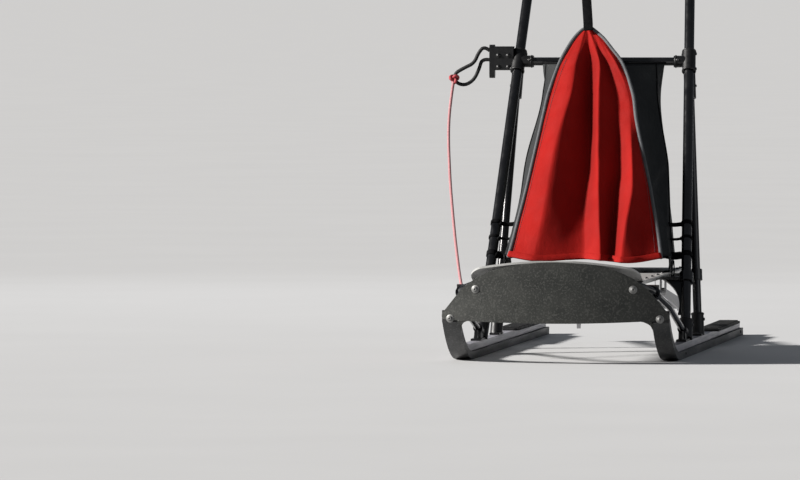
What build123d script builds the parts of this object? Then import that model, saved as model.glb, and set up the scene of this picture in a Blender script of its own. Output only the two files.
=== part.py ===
from build123d import *
from math import atan2, cos, pi, radians, sin, sqrt, tan
import os

# A racing dog sled, in millimetres. +X is the sled's left, -Y its nose, +Z up.
# The origin lies on the snow, midway between the runners and between nose and tails.

os.makedirs("parts", exist_ok=True)

# Overall
SLED_LENGTH = 2070
RUNNER_GAUGE = 530
FIT = 0.3
EXACT_FIT = 0.05
# How far a cutting solid reaches past what it cuts
PAST = 1
TOUCH = 0.01

# Runners: an aluminium rail slid into the grooved plastic shoe, turned up at the tip
SHOE_WIDTH = 44
SHOE_THICK = 11
SHOE_LIP = 2
RAIL_FLANGE_WIDTH = 34
RAIL_FLANGE_HEIGHT = 6
RAIL_WEB_WIDTH = 26
RAIL_HEIGHT = 26
TIP_RADIUS = 470
TIP_ANGLE = 39
TIP_BLOCK_WIDTH = 40
TIP_BLOCK_REACH = 10
TIP_BLOCK_ROUND = 6

# Front guard: a bent plastic sheet
GUARD_THICK = 5
GUARD_SWEEP = 45
GUARD_CROWN_Z = 257
GUARD_BEND_X = 130
GUARD_BEND_Z = 243
GUARD_SHOULDER_X = 241
GUARD_SHOULDER_Z = 182
GUARD_SIDE_Z = 126
GUARD_CORNER_Z = 112
GUARD_LOW_Z = 103
GUARD_SIDE_ROUND = 10
GUARD_CORNER_ROUND = 8

# Legs: two raked arms in front, two steeper uprights behind, meeting at the clamps
ARM_RADIUS = 13
UPRIGHT_RADIUS = 11
CROSSBAR_RADIUS = 11
ARM_FOOT_FROM_NOSE = 690
CLAMP_FROM_NOSE = 1190
UPRIGHT_AHEAD = 160
CLAMP_X = 225
CLAMP_Z = 750
FOOT_RISE = 8
TUBE_START = 4

# Clamps that join arm, handle bow, crossbar and upright
CLAMP_LENGTH = 64
CLAMP_WALL = 4.5
SOCKET_WALL = 4.5
UPRIGHT_SOCKET = 26
CROSSBAR_SOCKET = 22
TUBE_GAP = 1

# Foot brackets on the rails
BRACKET_PLATE = 5
FOOT_HUB_WALL = 5
FOOT_HUB_HEIGHT = 50
ARM_PLATE_FRONT = 115
ARM_PLATE_BACK = 36
UPRIGHT_PLATE_HALF = 45
EYE_RADIUS = 5.5
EYE_WALL = 4.5
EYE_THICK = 8
EYE_AHEAD = 103
EYE_HEIGHT = 17

# Handle bow
BOW_TOP_Z = 1000
BOW_CORNER_RADIUS = 85
GRIP_THICK = 4

# Front hoop
HOOP_RADIUS = 8
HOOP_CROWN_Z = 240
HOOP_SHOULDER_X = 130
HOOP_SHOULDER_Z = 222
HOOP_CORNER_X = 238
HOOP_CORNER_Z = 192
HOOP_KNEE_FROM_NOSE = 275
HOOP_KNEE_Z = 138
HOOP_INSET = 1
HOOP_END_AHEAD = 40
HOOP_END_Z = 62
HOOP_CORNER_BEND = 60
HOOP_SOFT_BEND = 300
HOOP_SOCKET = 38
HOOP_SOCKET_WALL = 4
HOOP_SOCKET_FLOOR = 8

# Bed: cross members between the legs, bars along the sides, a plastic sheet on top
BED_Z = 190
CROSS_THICK = 8
CROSS_WIDTH = 28
COLLAR_WALL = 5
COLLAR_LENGTH = 28
HOOP_COLLAR_WALL = 7
HOOP_COLLAR_LENGTH = 20
NECK_WIDTH_SHARE = 0.7
NECK_LENGTH_SHARE = 0.67
FRONT_CROSS_FROM_NOSE = 110
SIDE_BAR_INSET = 1
SIDE_BAR_WIDTH = 20
SIDE_BAR_THICK = 6
BED_THICK = 4
BED_HALF_WIDTH = 215
BED_BEND_FROM_NOSE = 135
BED_BEHIND_CLAMP = 17
BED_EDGE_GAP = 3
BED_LIP_ANGLE = 5
BED_FRONT_ROUND = 40
BED_REAR_ROUND = 20

# Knee gussets under the middle cross member
GUSSET_REACH = 62
GUSSET_DROP = 112
GUSSET_THICK = 8
GUSSET_HOLLOW_X = 30
GUSSET_HOLLOW_Y = 34
GUSSET_TOE = 7

# Footboards
BOARD_FROM_TAIL = 155
BOARD_LENGTH = 620
BOARD_WIDTH = 58
BOARD_THICK = 6
BOARD_ROUND = 14
RIB_HEIGHT = 3
RIB_WIDTH = 9
RIB_PITCH = 20

# Bag: front line of its cover, and its sections
BAG_TIP_FROM_NOSE = 1155
BAG_TIP_Z = 838
BAG_HEM_FROM_NOSE = 705
BAG_FLOOR_Z = 238
BAG_BACK_GAP = 0.4
COVER_DEPTH = 24
BAG_CORNER = 10
BAG_LEAST_DEPTH = 24
TIP_HALF = 18
# height, middle and half width in front, half width beside the arms, half width at the back
BAG_SECTIONS = [
    (BAG_FLOOR_Z, 0, 198, 221, 196),
    (300, -4, 183, 214, 192),
    (400, -11, 158, 204, 186),
    (500, -17, 139, 194, 178),
    (644, -25, 112, 160, 156),
    (748, -29, 78, 152, 166),
]
BAG_TAB_INNER = 203
BAG_TAB_AHEAD = 54
BAG_TAB_LENGTH = 130
BAG_TAB_GAP = 2.4
# height, left edge and right edge of the cover above the crossbar
COVER_SHOULDER = (745, -110, 58)
COVER_WAIST = (632, -139, 98)
COVER_BELLY = (420, -169, 154)
COVER_HEM_HALF = 200
TIP_MIDDLE = -38

# Strap and ties of the bag
STRAP_WIDTH = 25
STRAP_THICK = 2
STRAP_TOP_X = -70
TIE_WIDTH = 12
TIE_THICK = 2
TIE_WALL = 2.5
TIE_HEIGHTS = (252, 294, 331)

# Cleat on the right clamp
CLEAT_REACH = 46
CLEAT_HEIGHT = 63
CLEAT_DEPTH = 32
CLEAT_RISE = 8
HORN_THICK = 14
HORN_HEIGHT = 88
HORN_WIDTH = 20
CLEAT_ROUND = 6

# Ropes
LOOP_DIAMETER = 10
LINE_DIAMETER = 8
KNOT_RADIUS = 15
HITCH_WALL = 8
HITCH_LENGTH = 18
HITCH_FROM_NOSE = 345

# Brake
HINGE_Z = 150
BRAKE_ARM_X = 170
BRAKE_ARM_THICK = 6
EAR_THICK = 4
EAR_GAP = 8
EAR_RADIUS = 11
PIN_RADIUS = 4
BRAKE_EYE_RADIUS = 10
BRAKE_BAR_BEHIND = 460
BRAKE_BAR_Z = 100
BRAKE_BAR_RADIUS = 11
BRAKE_HUB_RADIUS = 16
BRAKE_HUB_LENGTH = 16
BRAKE_BAR_OVERHANG = 6
CLAW_X = 100
CLAW_THICK = 10
CLAW_DROP = 64
CLAW_SINK = 2
CLAW_BELLY = 13
CLAW_TIP_AHEAD = 8
CLAW_TIP_WIDTH = 3
CLAW_BACK = 4
PAD_HALF = 62
PAD_THICK = 4

# Places worked out from the sizes above
NOSE_Y = -SLED_LENGTH / 2
TAIL_Y = SLED_LENGTH / 2
RUNNER_X = RUNNER_GAUGE / 2
RAIL_LOW = SHOE_THICK + FIT
RAIL_TOP = RAIL_LOW + RAIL_HEIGHT
GUARD_HALF = RUNNER_X + SHOE_WIDTH / 2
GUARD_RADIUS = (GUARD_HALF**2 + GUARD_SWEEP**2) / (2 * GUARD_SWEEP)
GUARD_CENTRE_Y = NOSE_Y + GUARD_RADIUS
CLAMP_Y = NOSE_Y + CLAMP_FROM_NOSE

FOOT_Z = RAIL_TOP + FOOT_RISE
ARM_FOOT = Vector(RUNNER_X, NOSE_Y + ARM_FOOT_FROM_NOSE, FOOT_Z)
UPRIGHT_FOOT = Vector(RUNNER_X, CLAMP_Y - UPRIGHT_AHEAD, FOOT_Z)
CLAMP = Vector(CLAMP_X, CLAMP_Y, CLAMP_Z)
ARM_ALONG = (CLAMP - ARM_FOOT).normalized()
UPRIGHT_ALONG = (CLAMP - UPRIGHT_FOOT).normalized()
ARM_HUB = ARM_RADIUS + CLAMP_WALL
CROSSWISE = Vector(1, 0, 0)


def curve_y(radius, x):
    """Fore-and-aft place of a circle about the guard's centre, at a distance from the middle."""
    return GUARD_CENTRE_Y - sqrt(radius**2 - x**2)


def on_line(point, along, z):
    """Point of a leg's centre line at a height."""
    return point + along * ((z - point.Z) / along.Z)


def rod(start, end, radius):
    """Round bar from one point to another."""
    along = Vector(end) - Vector(start)
    return extrude(Plane(origin=start, z_dir=along) * Circle(radius), amount=along.length)


def hub(centre, along, radius, length):
    """Round bar with its middle at a point."""
    return rod(centre - along * (length / 2), centre + along * (length / 2), radius)


def ring(centre, along, inner, outer, length):
    """Collar with its middle at a point of a tube's centre line."""
    start = centre - along * (length / 2)
    section = Plane(origin=start, z_dir=along) * (Circle(outer) - Circle(inner))
    return extrude(section, amount=length)


def block(x, y, z):
    """Block from its lowest and highest value along each axis."""
    middle = Pos((x[0] + x[1]) / 2, (y[0] + y[1]) / 2, (z[0] + z[1]) / 2)
    return middle * Box(x[1] - x[0], y[1] - y[0], z[1] - z[0])


def side_plate(edges, x, thick):
    """Plate with an outline in the Y and Z directions, centred on a distance from the middle."""
    face = make_face(Plane.YZ * edges)
    return Pos(x, 0, 0) * extrude(face, amount=thick / 2, both=True)


def front_plate(face, y, thick):
    """Plate with an outline in the X and Z directions, from a place backwards."""
    plane = Plane(origin=(0, y + thick, 0), x_dir=(1, 0, 0), z_dir=(0, -1, 0))
    return extrude(plane * face, amount=thick)


def bend_radii(points, largest=None):
    """Bend radius at each inner point, as large as its two runs allow."""
    radii = []
    for before, corner, after in zip(points, points[1:], points[2:]):
        arriving = Vector(corner) - Vector(before)
        leaving = Vector(after) - Vector(corner)
        half_turn = radians(arriving.get_angle(leaving)) / 2
        room = 0.45 * min(arriving.length, leaving.length) / tan(half_turn)
        radii.append(room if largest is None else min(room, largest))
    return radii


def swept(path, radius):
    """Round tube along a path."""
    section = Plane(origin=path @ 0, z_dir=path % 0) * Circle(radius)
    return sweep(section, path=path)


def save(name, shape):
    export_step(shape, f"parts/{name}.step")


def save_pair(name, left):
    save(f"{name}_left", left)
    save(f"{name}_right", mirror(left, about=Plane.YZ))


# Runners

TIP_Z = TIP_RADIUS * (1 - cos(radians(TIP_ANGLE)))
TIP_FACE_Y = curve_y(GUARD_RADIUS - GUARD_THICK, RUNNER_X) + TIP_BLOCK_REACH
CONTACT_Y = TIP_FACE_Y + TIP_RADIUS * sin(radians(TIP_ANGLE))


def tip_point(height, angle):
    """Point of the turned-up tip, at a height above the sole and an angle round the bend."""
    radius = TIP_RADIUS - height
    return CONTACT_Y - radius * sin(radians(angle)), TIP_RADIUS - radius * cos(radians(angle))


def runner_strip(low, high, width):
    """Strip of the runner between two heights above the sole."""
    half = TIP_ANGLE / 2
    edges = Curve() + [
        Line((TAIL_Y, low), (CONTACT_Y, low)),
        ThreePointArc(tip_point(low, 0), tip_point(low, half), tip_point(low, TIP_ANGLE)),
        Line(tip_point(low, TIP_ANGLE), tip_point(high, TIP_ANGLE)),
        ThreePointArc(tip_point(high, TIP_ANGLE), tip_point(high, half), tip_point(high, 0)),
        Line((CONTACT_Y, high), (TAIL_Y, high)),
        Line((TAIL_Y, high), (TAIL_Y, low)),
    ]
    return side_plate(edges, RUNNER_X, width)


FLANGE_TOP = RAIL_LOW + RAIL_FLANGE_HEIGHT
GROOVE_TOP = FLANGE_TOP + FIT
SHOE_TOP = GROOVE_TOP + SHOE_LIP


def shoe():
    """Sole with a groove along it, whose two lips hold the rail's flange."""
    groove = runner_strip(SHOE_THICK, GROOVE_TOP, RAIL_FLANGE_WIDTH + 2 * FIT)
    mouth = runner_strip(GROOVE_TOP, SHOE_TOP, RAIL_WEB_WIDTH + 2 * FIT)
    return runner_strip(0, SHOE_TOP, SHOE_WIDTH) - groove - mouth


def rail():
    """Flange in the shoe's groove, with a narrower web above it."""
    flange = runner_strip(RAIL_LOW, FLANGE_TOP, RAIL_FLANGE_WIDTH)
    return flange + runner_strip(FLANGE_TOP, RAIL_TOP, RAIL_WEB_WIDTH)


def tip_block():
    """Nose block that fills the space from the runner's end face to the guard."""
    turn = radians(TIP_ANGLE)
    step = Vector(-cos(turn), sin(turn)) * FIT
    low = Vector(*tip_point(0, TIP_ANGLE)) + step
    high = Vector(*tip_point(RAIL_TOP, TIP_ANGLE)) + step
    edges = Polyline((low.X, low.Y), (high.X, high.Y), (NOSE_Y, high.Y), (NOSE_Y, low.Y), close=True)
    plate = side_plate(edges, GUARD_HALF - TIP_BLOCK_WIDTH / 2, TIP_BLOCK_WIDTH)
    inner = plate.edges().filter_by(Axis.Y).sort_by(Axis.X)[:2]
    plate = fillet(inner, TIP_BLOCK_ROUND)
    inside = Cylinder(GUARD_RADIUS - GUARD_THICK - FIT, 2 * GUARD_CROWN_Z)
    return plate & (Pos(0, GUARD_CENTRE_Y, GUARD_CROWN_Z) * inside)


def guard():
    """Sheet bent round the nose, cut to its outline seen from the front."""
    left = [
        (GUARD_SHOULDER_X, GUARD_SHOULDER_Z),
        (GUARD_HALF, GUARD_SIDE_Z),
        (GUARD_HALF, GUARD_CORNER_Z),
    ]
    right = [(-x, z) for x, z in reversed(left)]
    bend = (GUARD_BEND_X, GUARD_BEND_Z)
    crown = ThreePointArc((-bend[0], bend[1]), (0, GUARD_CROWN_Z), bend)
    outline = make_face(
        Curve()
        + [
            TangentArc(crown @ 0, right[-1], tangent=-1 * (crown % 0)),
            crown,
            TangentArc(crown @ 1, left[0], tangent=crown % 1),
            Polyline(*left),
            ThreePointArc(left[-1], (0, GUARD_LOW_Z), right[0]),
            Polyline(*right),
        ]
    )
    corners = outline.vertices().filter_by(lambda v: abs(v.Y - GUARD_CORNER_Z) < TOUCH)
    outline = fillet(corners, GUARD_CORNER_ROUND)
    sides = outline.vertices().filter_by(lambda v: abs(v.Y - GUARD_SIDE_Z) < TOUCH)
    outline = fillet(sides, GUARD_SIDE_ROUND)
    section = Circle(GUARD_RADIUS) - Circle(GUARD_RADIUS - GUARD_THICK)
    sheet = Pos(0, GUARD_CENTRE_Y, 0) * extrude(section, amount=GUARD_CROWN_Z + GUARD_THICK)
    return sheet & front_plate(outline, NOSE_Y - PAST, GUARD_SWEEP + GUARD_THICK + 2 * PAST)


# Hoop

HOOP_CURVE = GUARD_RADIUS - GUARD_THICK - FIT - HOOP_RADIUS
HOOP_CROWN_Y = curve_y(HOOP_CURVE, 0)
HOOP_CORNER = Vector(HOOP_CORNER_X, curve_y(HOOP_CURVE, HOOP_CORNER_X), HOOP_CORNER_Z)
HOOP_KNEE = Vector(RUNNER_X - HOOP_INSET, NOSE_Y + HOOP_KNEE_FROM_NOSE, HOOP_KNEE_Z)
HOOP_END = Vector(RUNNER_X - HOOP_INSET, ARM_FOOT.Y - HOOP_END_AHEAD, HOOP_END_Z)
HOOP_LEG_ALONG = (HOOP_END - HOOP_KNEE).normalized()
HOOP_SIDE_ALONG = (HOOP_KNEE - HOOP_CORNER).normalized()


def hoop_side(y):
    """Point of the hoop's centre line between its corner and its knee."""
    return HOOP_CORNER + HOOP_SIDE_ALONG * ((y - HOOP_CORNER.Y) / HOOP_SIDE_ALONG.Y)


def hoop_leg(y):
    """Point of the hoop's centre line between its knee and its foot."""
    return HOOP_KNEE + HOOP_LEG_ALONG * ((y - HOOP_KNEE.Y) / HOOP_LEG_ALONG.Y)


def hoop():
    """Tube across the nose, bent back and down to the arms' feet."""
    shoulder = Vector(HOOP_SHOULDER_X, curve_y(HOOP_CURVE, HOOP_SHOULDER_X), HOOP_SHOULDER_Z)
    crown = Vector(0, HOOP_CROWN_Y, HOOP_CROWN_Z)
    half = [HOOP_END, HOOP_KNEE, HOOP_CORNER, shoulder]
    other = [Vector(-point.X, point.Y, point.Z) for point in reversed(half)]
    points = half + [crown] + other
    radii = bend_radii(points, HOOP_SOFT_BEND)
    radii[1] = HOOP_CORNER_BEND
    radii[-2] = HOOP_CORNER_BEND
    return swept(FilletPolyline(*points, radius=radii), HOOP_RADIUS)


# Legs, clamps and handle bow

LEG_ANGLE = radians(ARM_ALONG.get_angle(UPRIGHT_ALONG))
ARM_ROOM = ARM_RADIUS + FIT + CLAMP_WALL
UPRIGHT_STOP = (ARM_ROOM + UPRIGHT_RADIUS * cos(LEG_ANGLE)) / sin(LEG_ANGLE)
UPRIGHT_TOP = CLAMP - UPRIGHT_ALONG * UPRIGHT_STOP
CLAMP_REACH = UPRIGHT_STOP + UPRIGHT_SOCKET
CROSSBAR_HALF = CLAMP_X - ARM_ROOM - FIT


def arm():
    return rod(ARM_FOOT + ARM_ALONG * TUBE_START, CLAMP - ARM_ALONG * (TUBE_GAP / 2), ARM_RADIUS)


def upright():
    return rod(UPRIGHT_FOOT + UPRIGHT_ALONG * TUBE_START, UPRIGHT_TOP, UPRIGHT_RADIUS)


def crossbar():
    return rod((-CROSSBAR_HALF, CLAMP_Y, CLAMP_Z), (CROSSBAR_HALF, CLAMP_Y, CLAMP_Z), CROSSBAR_RADIUS)


def clamp():
    """Block of three sockets: the arm and bow in line, the upright below, the crossbar inside."""
    inward = Vector(-1, 0, 0)
    upright_end = CLAMP - UPRIGHT_ALONG * CLAMP_REACH
    crossbar_end = CLAMP + inward * (ARM_ROOM + CROSSBAR_SOCKET)
    solid = hub(CLAMP, ARM_ALONG, ARM_HUB, CLAMP_LENGTH)
    solid = solid + rod(CLAMP, upright_end, UPRIGHT_RADIUS + SOCKET_WALL)
    solid = solid + rod(CLAMP, crossbar_end, CROSSBAR_RADIUS + SOCKET_WALL)
    solid = solid - hub(CLAMP, ARM_ALONG, ARM_RADIUS + FIT, 2 * CLAMP_REACH)
    socket_top = UPRIGHT_TOP + UPRIGHT_ALONG * FIT
    solid = solid - rod(socket_top, upright_end - UPRIGHT_ALONG * PAST, UPRIGHT_RADIUS + FIT)
    return solid - rod(CLAMP + inward * ARM_ROOM, crossbar_end + inward * PAST, CROSSBAR_RADIUS + FIT)


def bow_path():
    low = CLAMP + ARM_ALONG * (TUBE_GAP / 2)
    corner = on_line(ARM_FOOT, ARM_ALONG, BOW_TOP_Z)
    points = [low, corner, Vector(-corner.X, corner.Y, corner.Z), Vector(-low.X, low.Y, low.Z)]
    return FilletPolyline(*points, radius=BOW_CORNER_RADIUS)


def grip():
    """Foam sleeve on the bow's top run and round its corners."""
    path = Wire(bow_path().edges().sort_by(Axis.Z)[-3:])
    return swept(path, ARM_RADIUS + FIT + GRIP_THICK) - swept(path, ARM_RADIUS + FIT)


# Foot brackets

PLATE_LOW = RAIL_TOP + FIT


def below_plates():
    """Space that the rails take up, which the brackets stay out of."""
    return block((0, 2 * RUNNER_X), (NOSE_Y, TAIL_Y), (-RAIL_TOP, PLATE_LOW))


def foot_hub(foot, along, radius):
    """Socket that holds the lower end of a leg."""
    return rod(foot - along * FOOT_RISE, foot + along * FOOT_HUB_HEIGHT, radius + FOOT_HUB_WALL)


def leg_room(foot, along, radius):
    """Space for a leg above the socket's floor."""
    return rod(foot + along * (TUBE_START - FIT), foot + along * 2 * FOOT_HUB_HEIGHT, radius + FIT)


def bracket_plate(front, back):
    x = (RUNNER_X - RAIL_WEB_WIDTH / 2, RUNNER_X + RAIL_WEB_WIDTH / 2)
    return block(x, (front, back), (PLATE_LOW, PLATE_LOW + BRACKET_PLATE))


def arm_bracket():
    """Plate on the rail with sockets for the arm and the hoop's foot, and an eye for the bridle."""
    hoop_mouth = hoop_leg(HOOP_END.Y - HOOP_SOCKET)
    hoop_floor = HOOP_END + HOOP_LEG_ALONG * HOOP_SOCKET_FLOOR
    solid = bracket_plate(ARM_FOOT.Y - ARM_PLATE_FRONT, ARM_FOOT.Y + ARM_PLATE_BACK)
    solid = solid + foot_hub(ARM_FOOT, ARM_ALONG, ARM_RADIUS)
    solid = solid + rod(hoop_mouth, hoop_floor, HOOP_RADIUS + HOOP_SOCKET_WALL)
    web_x = (HOOP_END.X - HOOP_RADIUS, HOOP_END.X + HOOP_RADIUS)
    solid = solid + block(web_x, (hoop_mouth.Y + PAST, ARM_FOOT.Y), (PLATE_LOW, HOOP_END.Z))
    eye = Vector(RUNNER_X, ARM_FOOT.Y - EYE_AHEAD, PLATE_LOW + EYE_HEIGHT)
    rim = EYE_RADIUS + EYE_WALL
    stem_x = (RUNNER_X - EYE_THICK / 2, RUNNER_X + EYE_THICK / 2)
    solid = solid + block(stem_x, (eye.Y - rim, eye.Y + rim), (PLATE_LOW, eye.Z))
    solid = solid + hub(eye, CROSSWISE, rim, EYE_THICK)
    solid = solid - hub(eye, CROSSWISE, EYE_RADIUS, EYE_THICK + 2 * PAST)
    solid = solid - leg_room(ARM_FOOT, ARM_ALONG, ARM_RADIUS)
    mouth_end = hoop_mouth - HOOP_LEG_ALONG * PAST
    solid = solid - rod(mouth_end, HOOP_END + HOOP_LEG_ALONG * FIT, HOOP_RADIUS + FIT)
    return solid - below_plates()


def upright_bracket():
    """Plate on the rail with a socket for the upright."""
    middle = UPRIGHT_FOOT.Y
    solid = bracket_plate(middle - UPRIGHT_PLATE_HALF, middle + UPRIGHT_PLATE_HALF)
    solid = solid + foot_hub(UPRIGHT_FOOT, UPRIGHT_ALONG, UPRIGHT_RADIUS)
    solid = solid - leg_room(UPRIGHT_FOOT, UPRIGHT_ALONG, UPRIGHT_RADIUS)
    return solid - below_plates()


# Bed

CROSS_MID_Z = BED_Z + CROSS_THICK / 2
CROSS_TOP = BED_Z + CROSS_THICK
SIDE_BAR_LOW = CROSS_TOP + FIT
SIDE_BAR_TOP = SIDE_BAR_LOW + SIDE_BAR_THICK
BED_LOW = SIDE_BAR_TOP + FIT
FRONT_CROSS_Y = NOSE_Y + FRONT_CROSS_FROM_NOSE
BED_BEND_Y = NOSE_Y + BED_BEND_FROM_NOSE
BED_REAR_Y = CLAMP_Y + BED_BEHIND_CLAMP
SIDE_BAR_X = BED_HALF_WIDTH - SIDE_BAR_INSET - SIDE_BAR_WIDTH / 2
ARM_AT_BED = on_line(ARM_FOOT, ARM_ALONG, CROSS_MID_Z)
UPRIGHT_AT_BED = on_line(UPRIGHT_FOOT, UPRIGHT_ALONG, CROSS_MID_Z)


def cross_member(point, along, tube, wall, length):
    """Flat bar from side to side, with a collar on a tube at each end."""
    bar_y = (point.Y - CROSS_WIDTH / 2, point.Y + CROSS_WIDTH / 2)
    neck = (tube + wall) * NECK_WIDTH_SHARE
    neck_half = length * NECK_LENGTH_SHARE / 2
    neck_y = (point.Y - neck_half, point.Y + neck_half)
    low = min(point.Z, BED_Z)
    half = block((0, point.X), bar_y, (BED_Z, CROSS_TOP))
    half = half + block((point.X - neck, point.X + neck), neck_y, (low, CROSS_TOP))
    half = half + hub(point, along, tube + wall, length)
    half = half - hub(point, along, tube + FIT, 4 * length)
    return half + mirror(half, about=Plane.YZ)


def side_bar():
    """Flat bar along the bed's edge, on the three cross members."""
    x = (SIDE_BAR_X - SIDE_BAR_WIDTH / 2, SIDE_BAR_X + SIDE_BAR_WIDTH / 2)
    y = (FRONT_CROSS_Y - CROSS_WIDTH / 2, BED_REAR_Y - BED_REAR_ROUND)
    return block(x, y, (SIDE_BAR_LOW, SIDE_BAR_TOP))


def bed_sheet():
    """Flat sheet that rises in a bend to lie on the hoop's crown."""
    rear = BED_REAR_Y
    reach = BED_BEND_Y - HOOP_CROWN_Y
    rise = HOOP_CROWN_Z - BED_LOW
    clear = HOOP_RADIUS + FIT
    bend = (reach**2 + rise**2 - clear**2) / (2 * (rise + clear))
    angle = atan2(reach, bend - rise) + radians(BED_LIP_ANGLE)

    def on_bend(radius, turn):
        return BED_BEND_Y - radius * sin(turn), BED_LOW + bend - radius * cos(turn)

    inner = bend - BED_THICK
    edges = Curve() + [
        Line((rear, BED_LOW), on_bend(bend, 0)),
        ThreePointArc(on_bend(bend, 0), on_bend(bend, angle / 2), on_bend(bend, angle)),
        Line(on_bend(bend, angle), on_bend(inner, angle)),
        ThreePointArc(on_bend(inner, angle), on_bend(inner, angle / 2), on_bend(inner, 0)),
        Line(on_bend(inner, 0), (rear, BED_LOW + BED_THICK)),
        Line((rear, BED_LOW + BED_THICK), (rear, BED_LOW)),
    ]
    sheet = side_plate(edges, 0, 2 * BED_HALF_WIDTH)
    edge_radius = GUARD_RADIUS - GUARD_THICK - BED_EDGE_GAP
    front = curve_y(edge_radius, BED_HALF_WIDTH)
    plan = make_face(
        Curve()
        + [
            Line((BED_HALF_WIDTH, front), (BED_HALF_WIDTH, rear)),
            Line((BED_HALF_WIDTH, rear), (-BED_HALF_WIDTH, rear)),
            Line((-BED_HALF_WIDTH, rear), (-BED_HALF_WIDTH, front)),
            ThreePointArc((-BED_HALF_WIDTH, front), (0, curve_y(edge_radius, 0)), (BED_HALF_WIDTH, front)),
        ]
    )
    plan = fillet(plan.vertices().filter_by(lambda v: v.Y < BED_BEND_Y), BED_FRONT_ROUND)
    plan = fillet(plan.vertices().filter_by(lambda v: v.Y > rear - TOUCH), BED_REAR_ROUND)
    return sheet & extrude(plan, amount=2 * HOOP_CROWN_Z)


def gusset():
    """Plate with a hollow edge in the corner of an arm and the middle cross member."""
    down = ARM_ALONG * -1
    inward = (down * CROSSWISE.dot(down) - CROSSWISE).normalized()
    plane = Plane(origin=ARM_AT_BED, x_dir=inward, z_dir=inward.cross(down))
    toe = ARM_RADIUS + FIT + GUSSET_TOE
    edges = Curve() + [
        Line((0, 0), (GUSSET_REACH, 0)),
        ThreePointArc((GUSSET_REACH, 0), (GUSSET_HOLLOW_X, GUSSET_HOLLOW_Y), (toe, GUSSET_DROP)),
        Line((toe, GUSSET_DROP), (0, GUSSET_DROP)),
        Line((0, GUSSET_DROP), (0, 0)),
    ]
    plate = extrude(plane * make_face(edges), amount=GUSSET_THICK / 2, both=True)
    plate = plate - hub(ARM_AT_BED, down, ARM_RADIUS + FIT, 4 * GUSSET_DROP)
    plate = plate - hub(ARM_AT_BED, down, ARM_RADIUS + COLLAR_WALL + FIT, COLLAR_LENGTH + 2 * FIT)
    above = block((0, 2 * CLAMP_X), (NOSE_Y, CLAMP_Y), (BED_Z - FIT, CLAMP_Z))
    return (plate - above).solids().sort_by(SortBy.VOLUME)[-1]


def footboard():
    """Board on the rail's tail, with ribs across it for grip."""
    back = TAIL_Y - BOARD_FROM_TAIL
    front = back - BOARD_LENGTH
    middle = Pos(RUNNER_X, (front + back) / 2, PLATE_LOW)
    outline = RectangleRounded(BOARD_WIDTH, BOARD_LENGTH, BOARD_ROUND)
    board = middle * extrude(outline, amount=BOARD_THICK)
    count = int((BOARD_LENGTH - 2 * BOARD_ROUND) / RIB_PITCH)
    first = (front + back - (count - 1) * RIB_PITCH) / 2
    top = PLATE_LOW + BOARD_THICK
    half = BOARD_WIDTH / 2 - RIB_WIDTH / 2
    x = (RUNNER_X - half, RUNNER_X + half)
    for index in range(count):
        y = first + index * RIB_PITCH
        board = board + block(x, (y - RIB_WIDTH / 2, y + RIB_WIDTH / 2), (top, top + RIB_HEIGHT))
    return board


# Bag

BAG_TIP_Y = NOSE_Y + BAG_TIP_FROM_NOSE
BAG_HEM_Y = NOSE_Y + BAG_HEM_FROM_NOSE
BAG_SLOPE = (BAG_TIP_Y - BAG_HEM_Y) / (BAG_TIP_Z - BAG_FLOOR_Z)
BAG_BACK_Y = CLAMP_Y - CROSSBAR_RADIUS - BAG_BACK_GAP


def cover_y(z):
    """Front face of the cover at a height."""
    return BAG_HEM_Y + BAG_SLOPE * (z - BAG_FLOOR_Z)


def body_y(z):
    """Front face of the body at a height, just behind the cover."""
    return cover_y(z) + COVER_DEPTH + FIT


def bag_outline(z, middle, front, side, back):
    """Outline of the bag at a height, widest where the arms pass it."""
    side_y = min(on_line(ARM_FOOT, ARM_ALONG, z).Y, BAG_BACK_Y - BAG_LEAST_DEPTH)
    outline = Polygon(
        (middle - front, body_y(z)),
        (middle + front, body_y(z)),
        (side, side_y),
        (back, BAG_BACK_Y),
        (-back, BAG_BACK_Y),
        (-side, side_y),
        align=None,
    )
    return fillet(outline.vertices(), BAG_CORNER)


def bag_body():
    """Closed bag behind the cover, with a tab down to the bed at each side."""
    sections = [Pos(0, 0, section[0]) * bag_outline(*section) for section in BAG_SECTIONS]
    bag = loft(sections, ruled=True)
    low = BED_LOW + BED_THICK + BAG_TAB_GAP
    high = BAG_FLOOR_Z + TOUCH
    skirt = Pos(0, 0, low) * extrude(bag_outline(*BAG_SECTIONS[0]), amount=high - low)
    start = on_line(ARM_FOOT, ARM_ALONG, BAG_FLOOR_Z).Y - BAG_TAB_AHEAD
    across = (BAG_TAB_INNER, BAG_SECTIONS[0][3] + PAST)
    tab = skirt & block(across, (start, start + BAG_TAB_LENGTH), (low, high))
    return bag + tab + mirror(tab, about=Plane.YZ)


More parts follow.
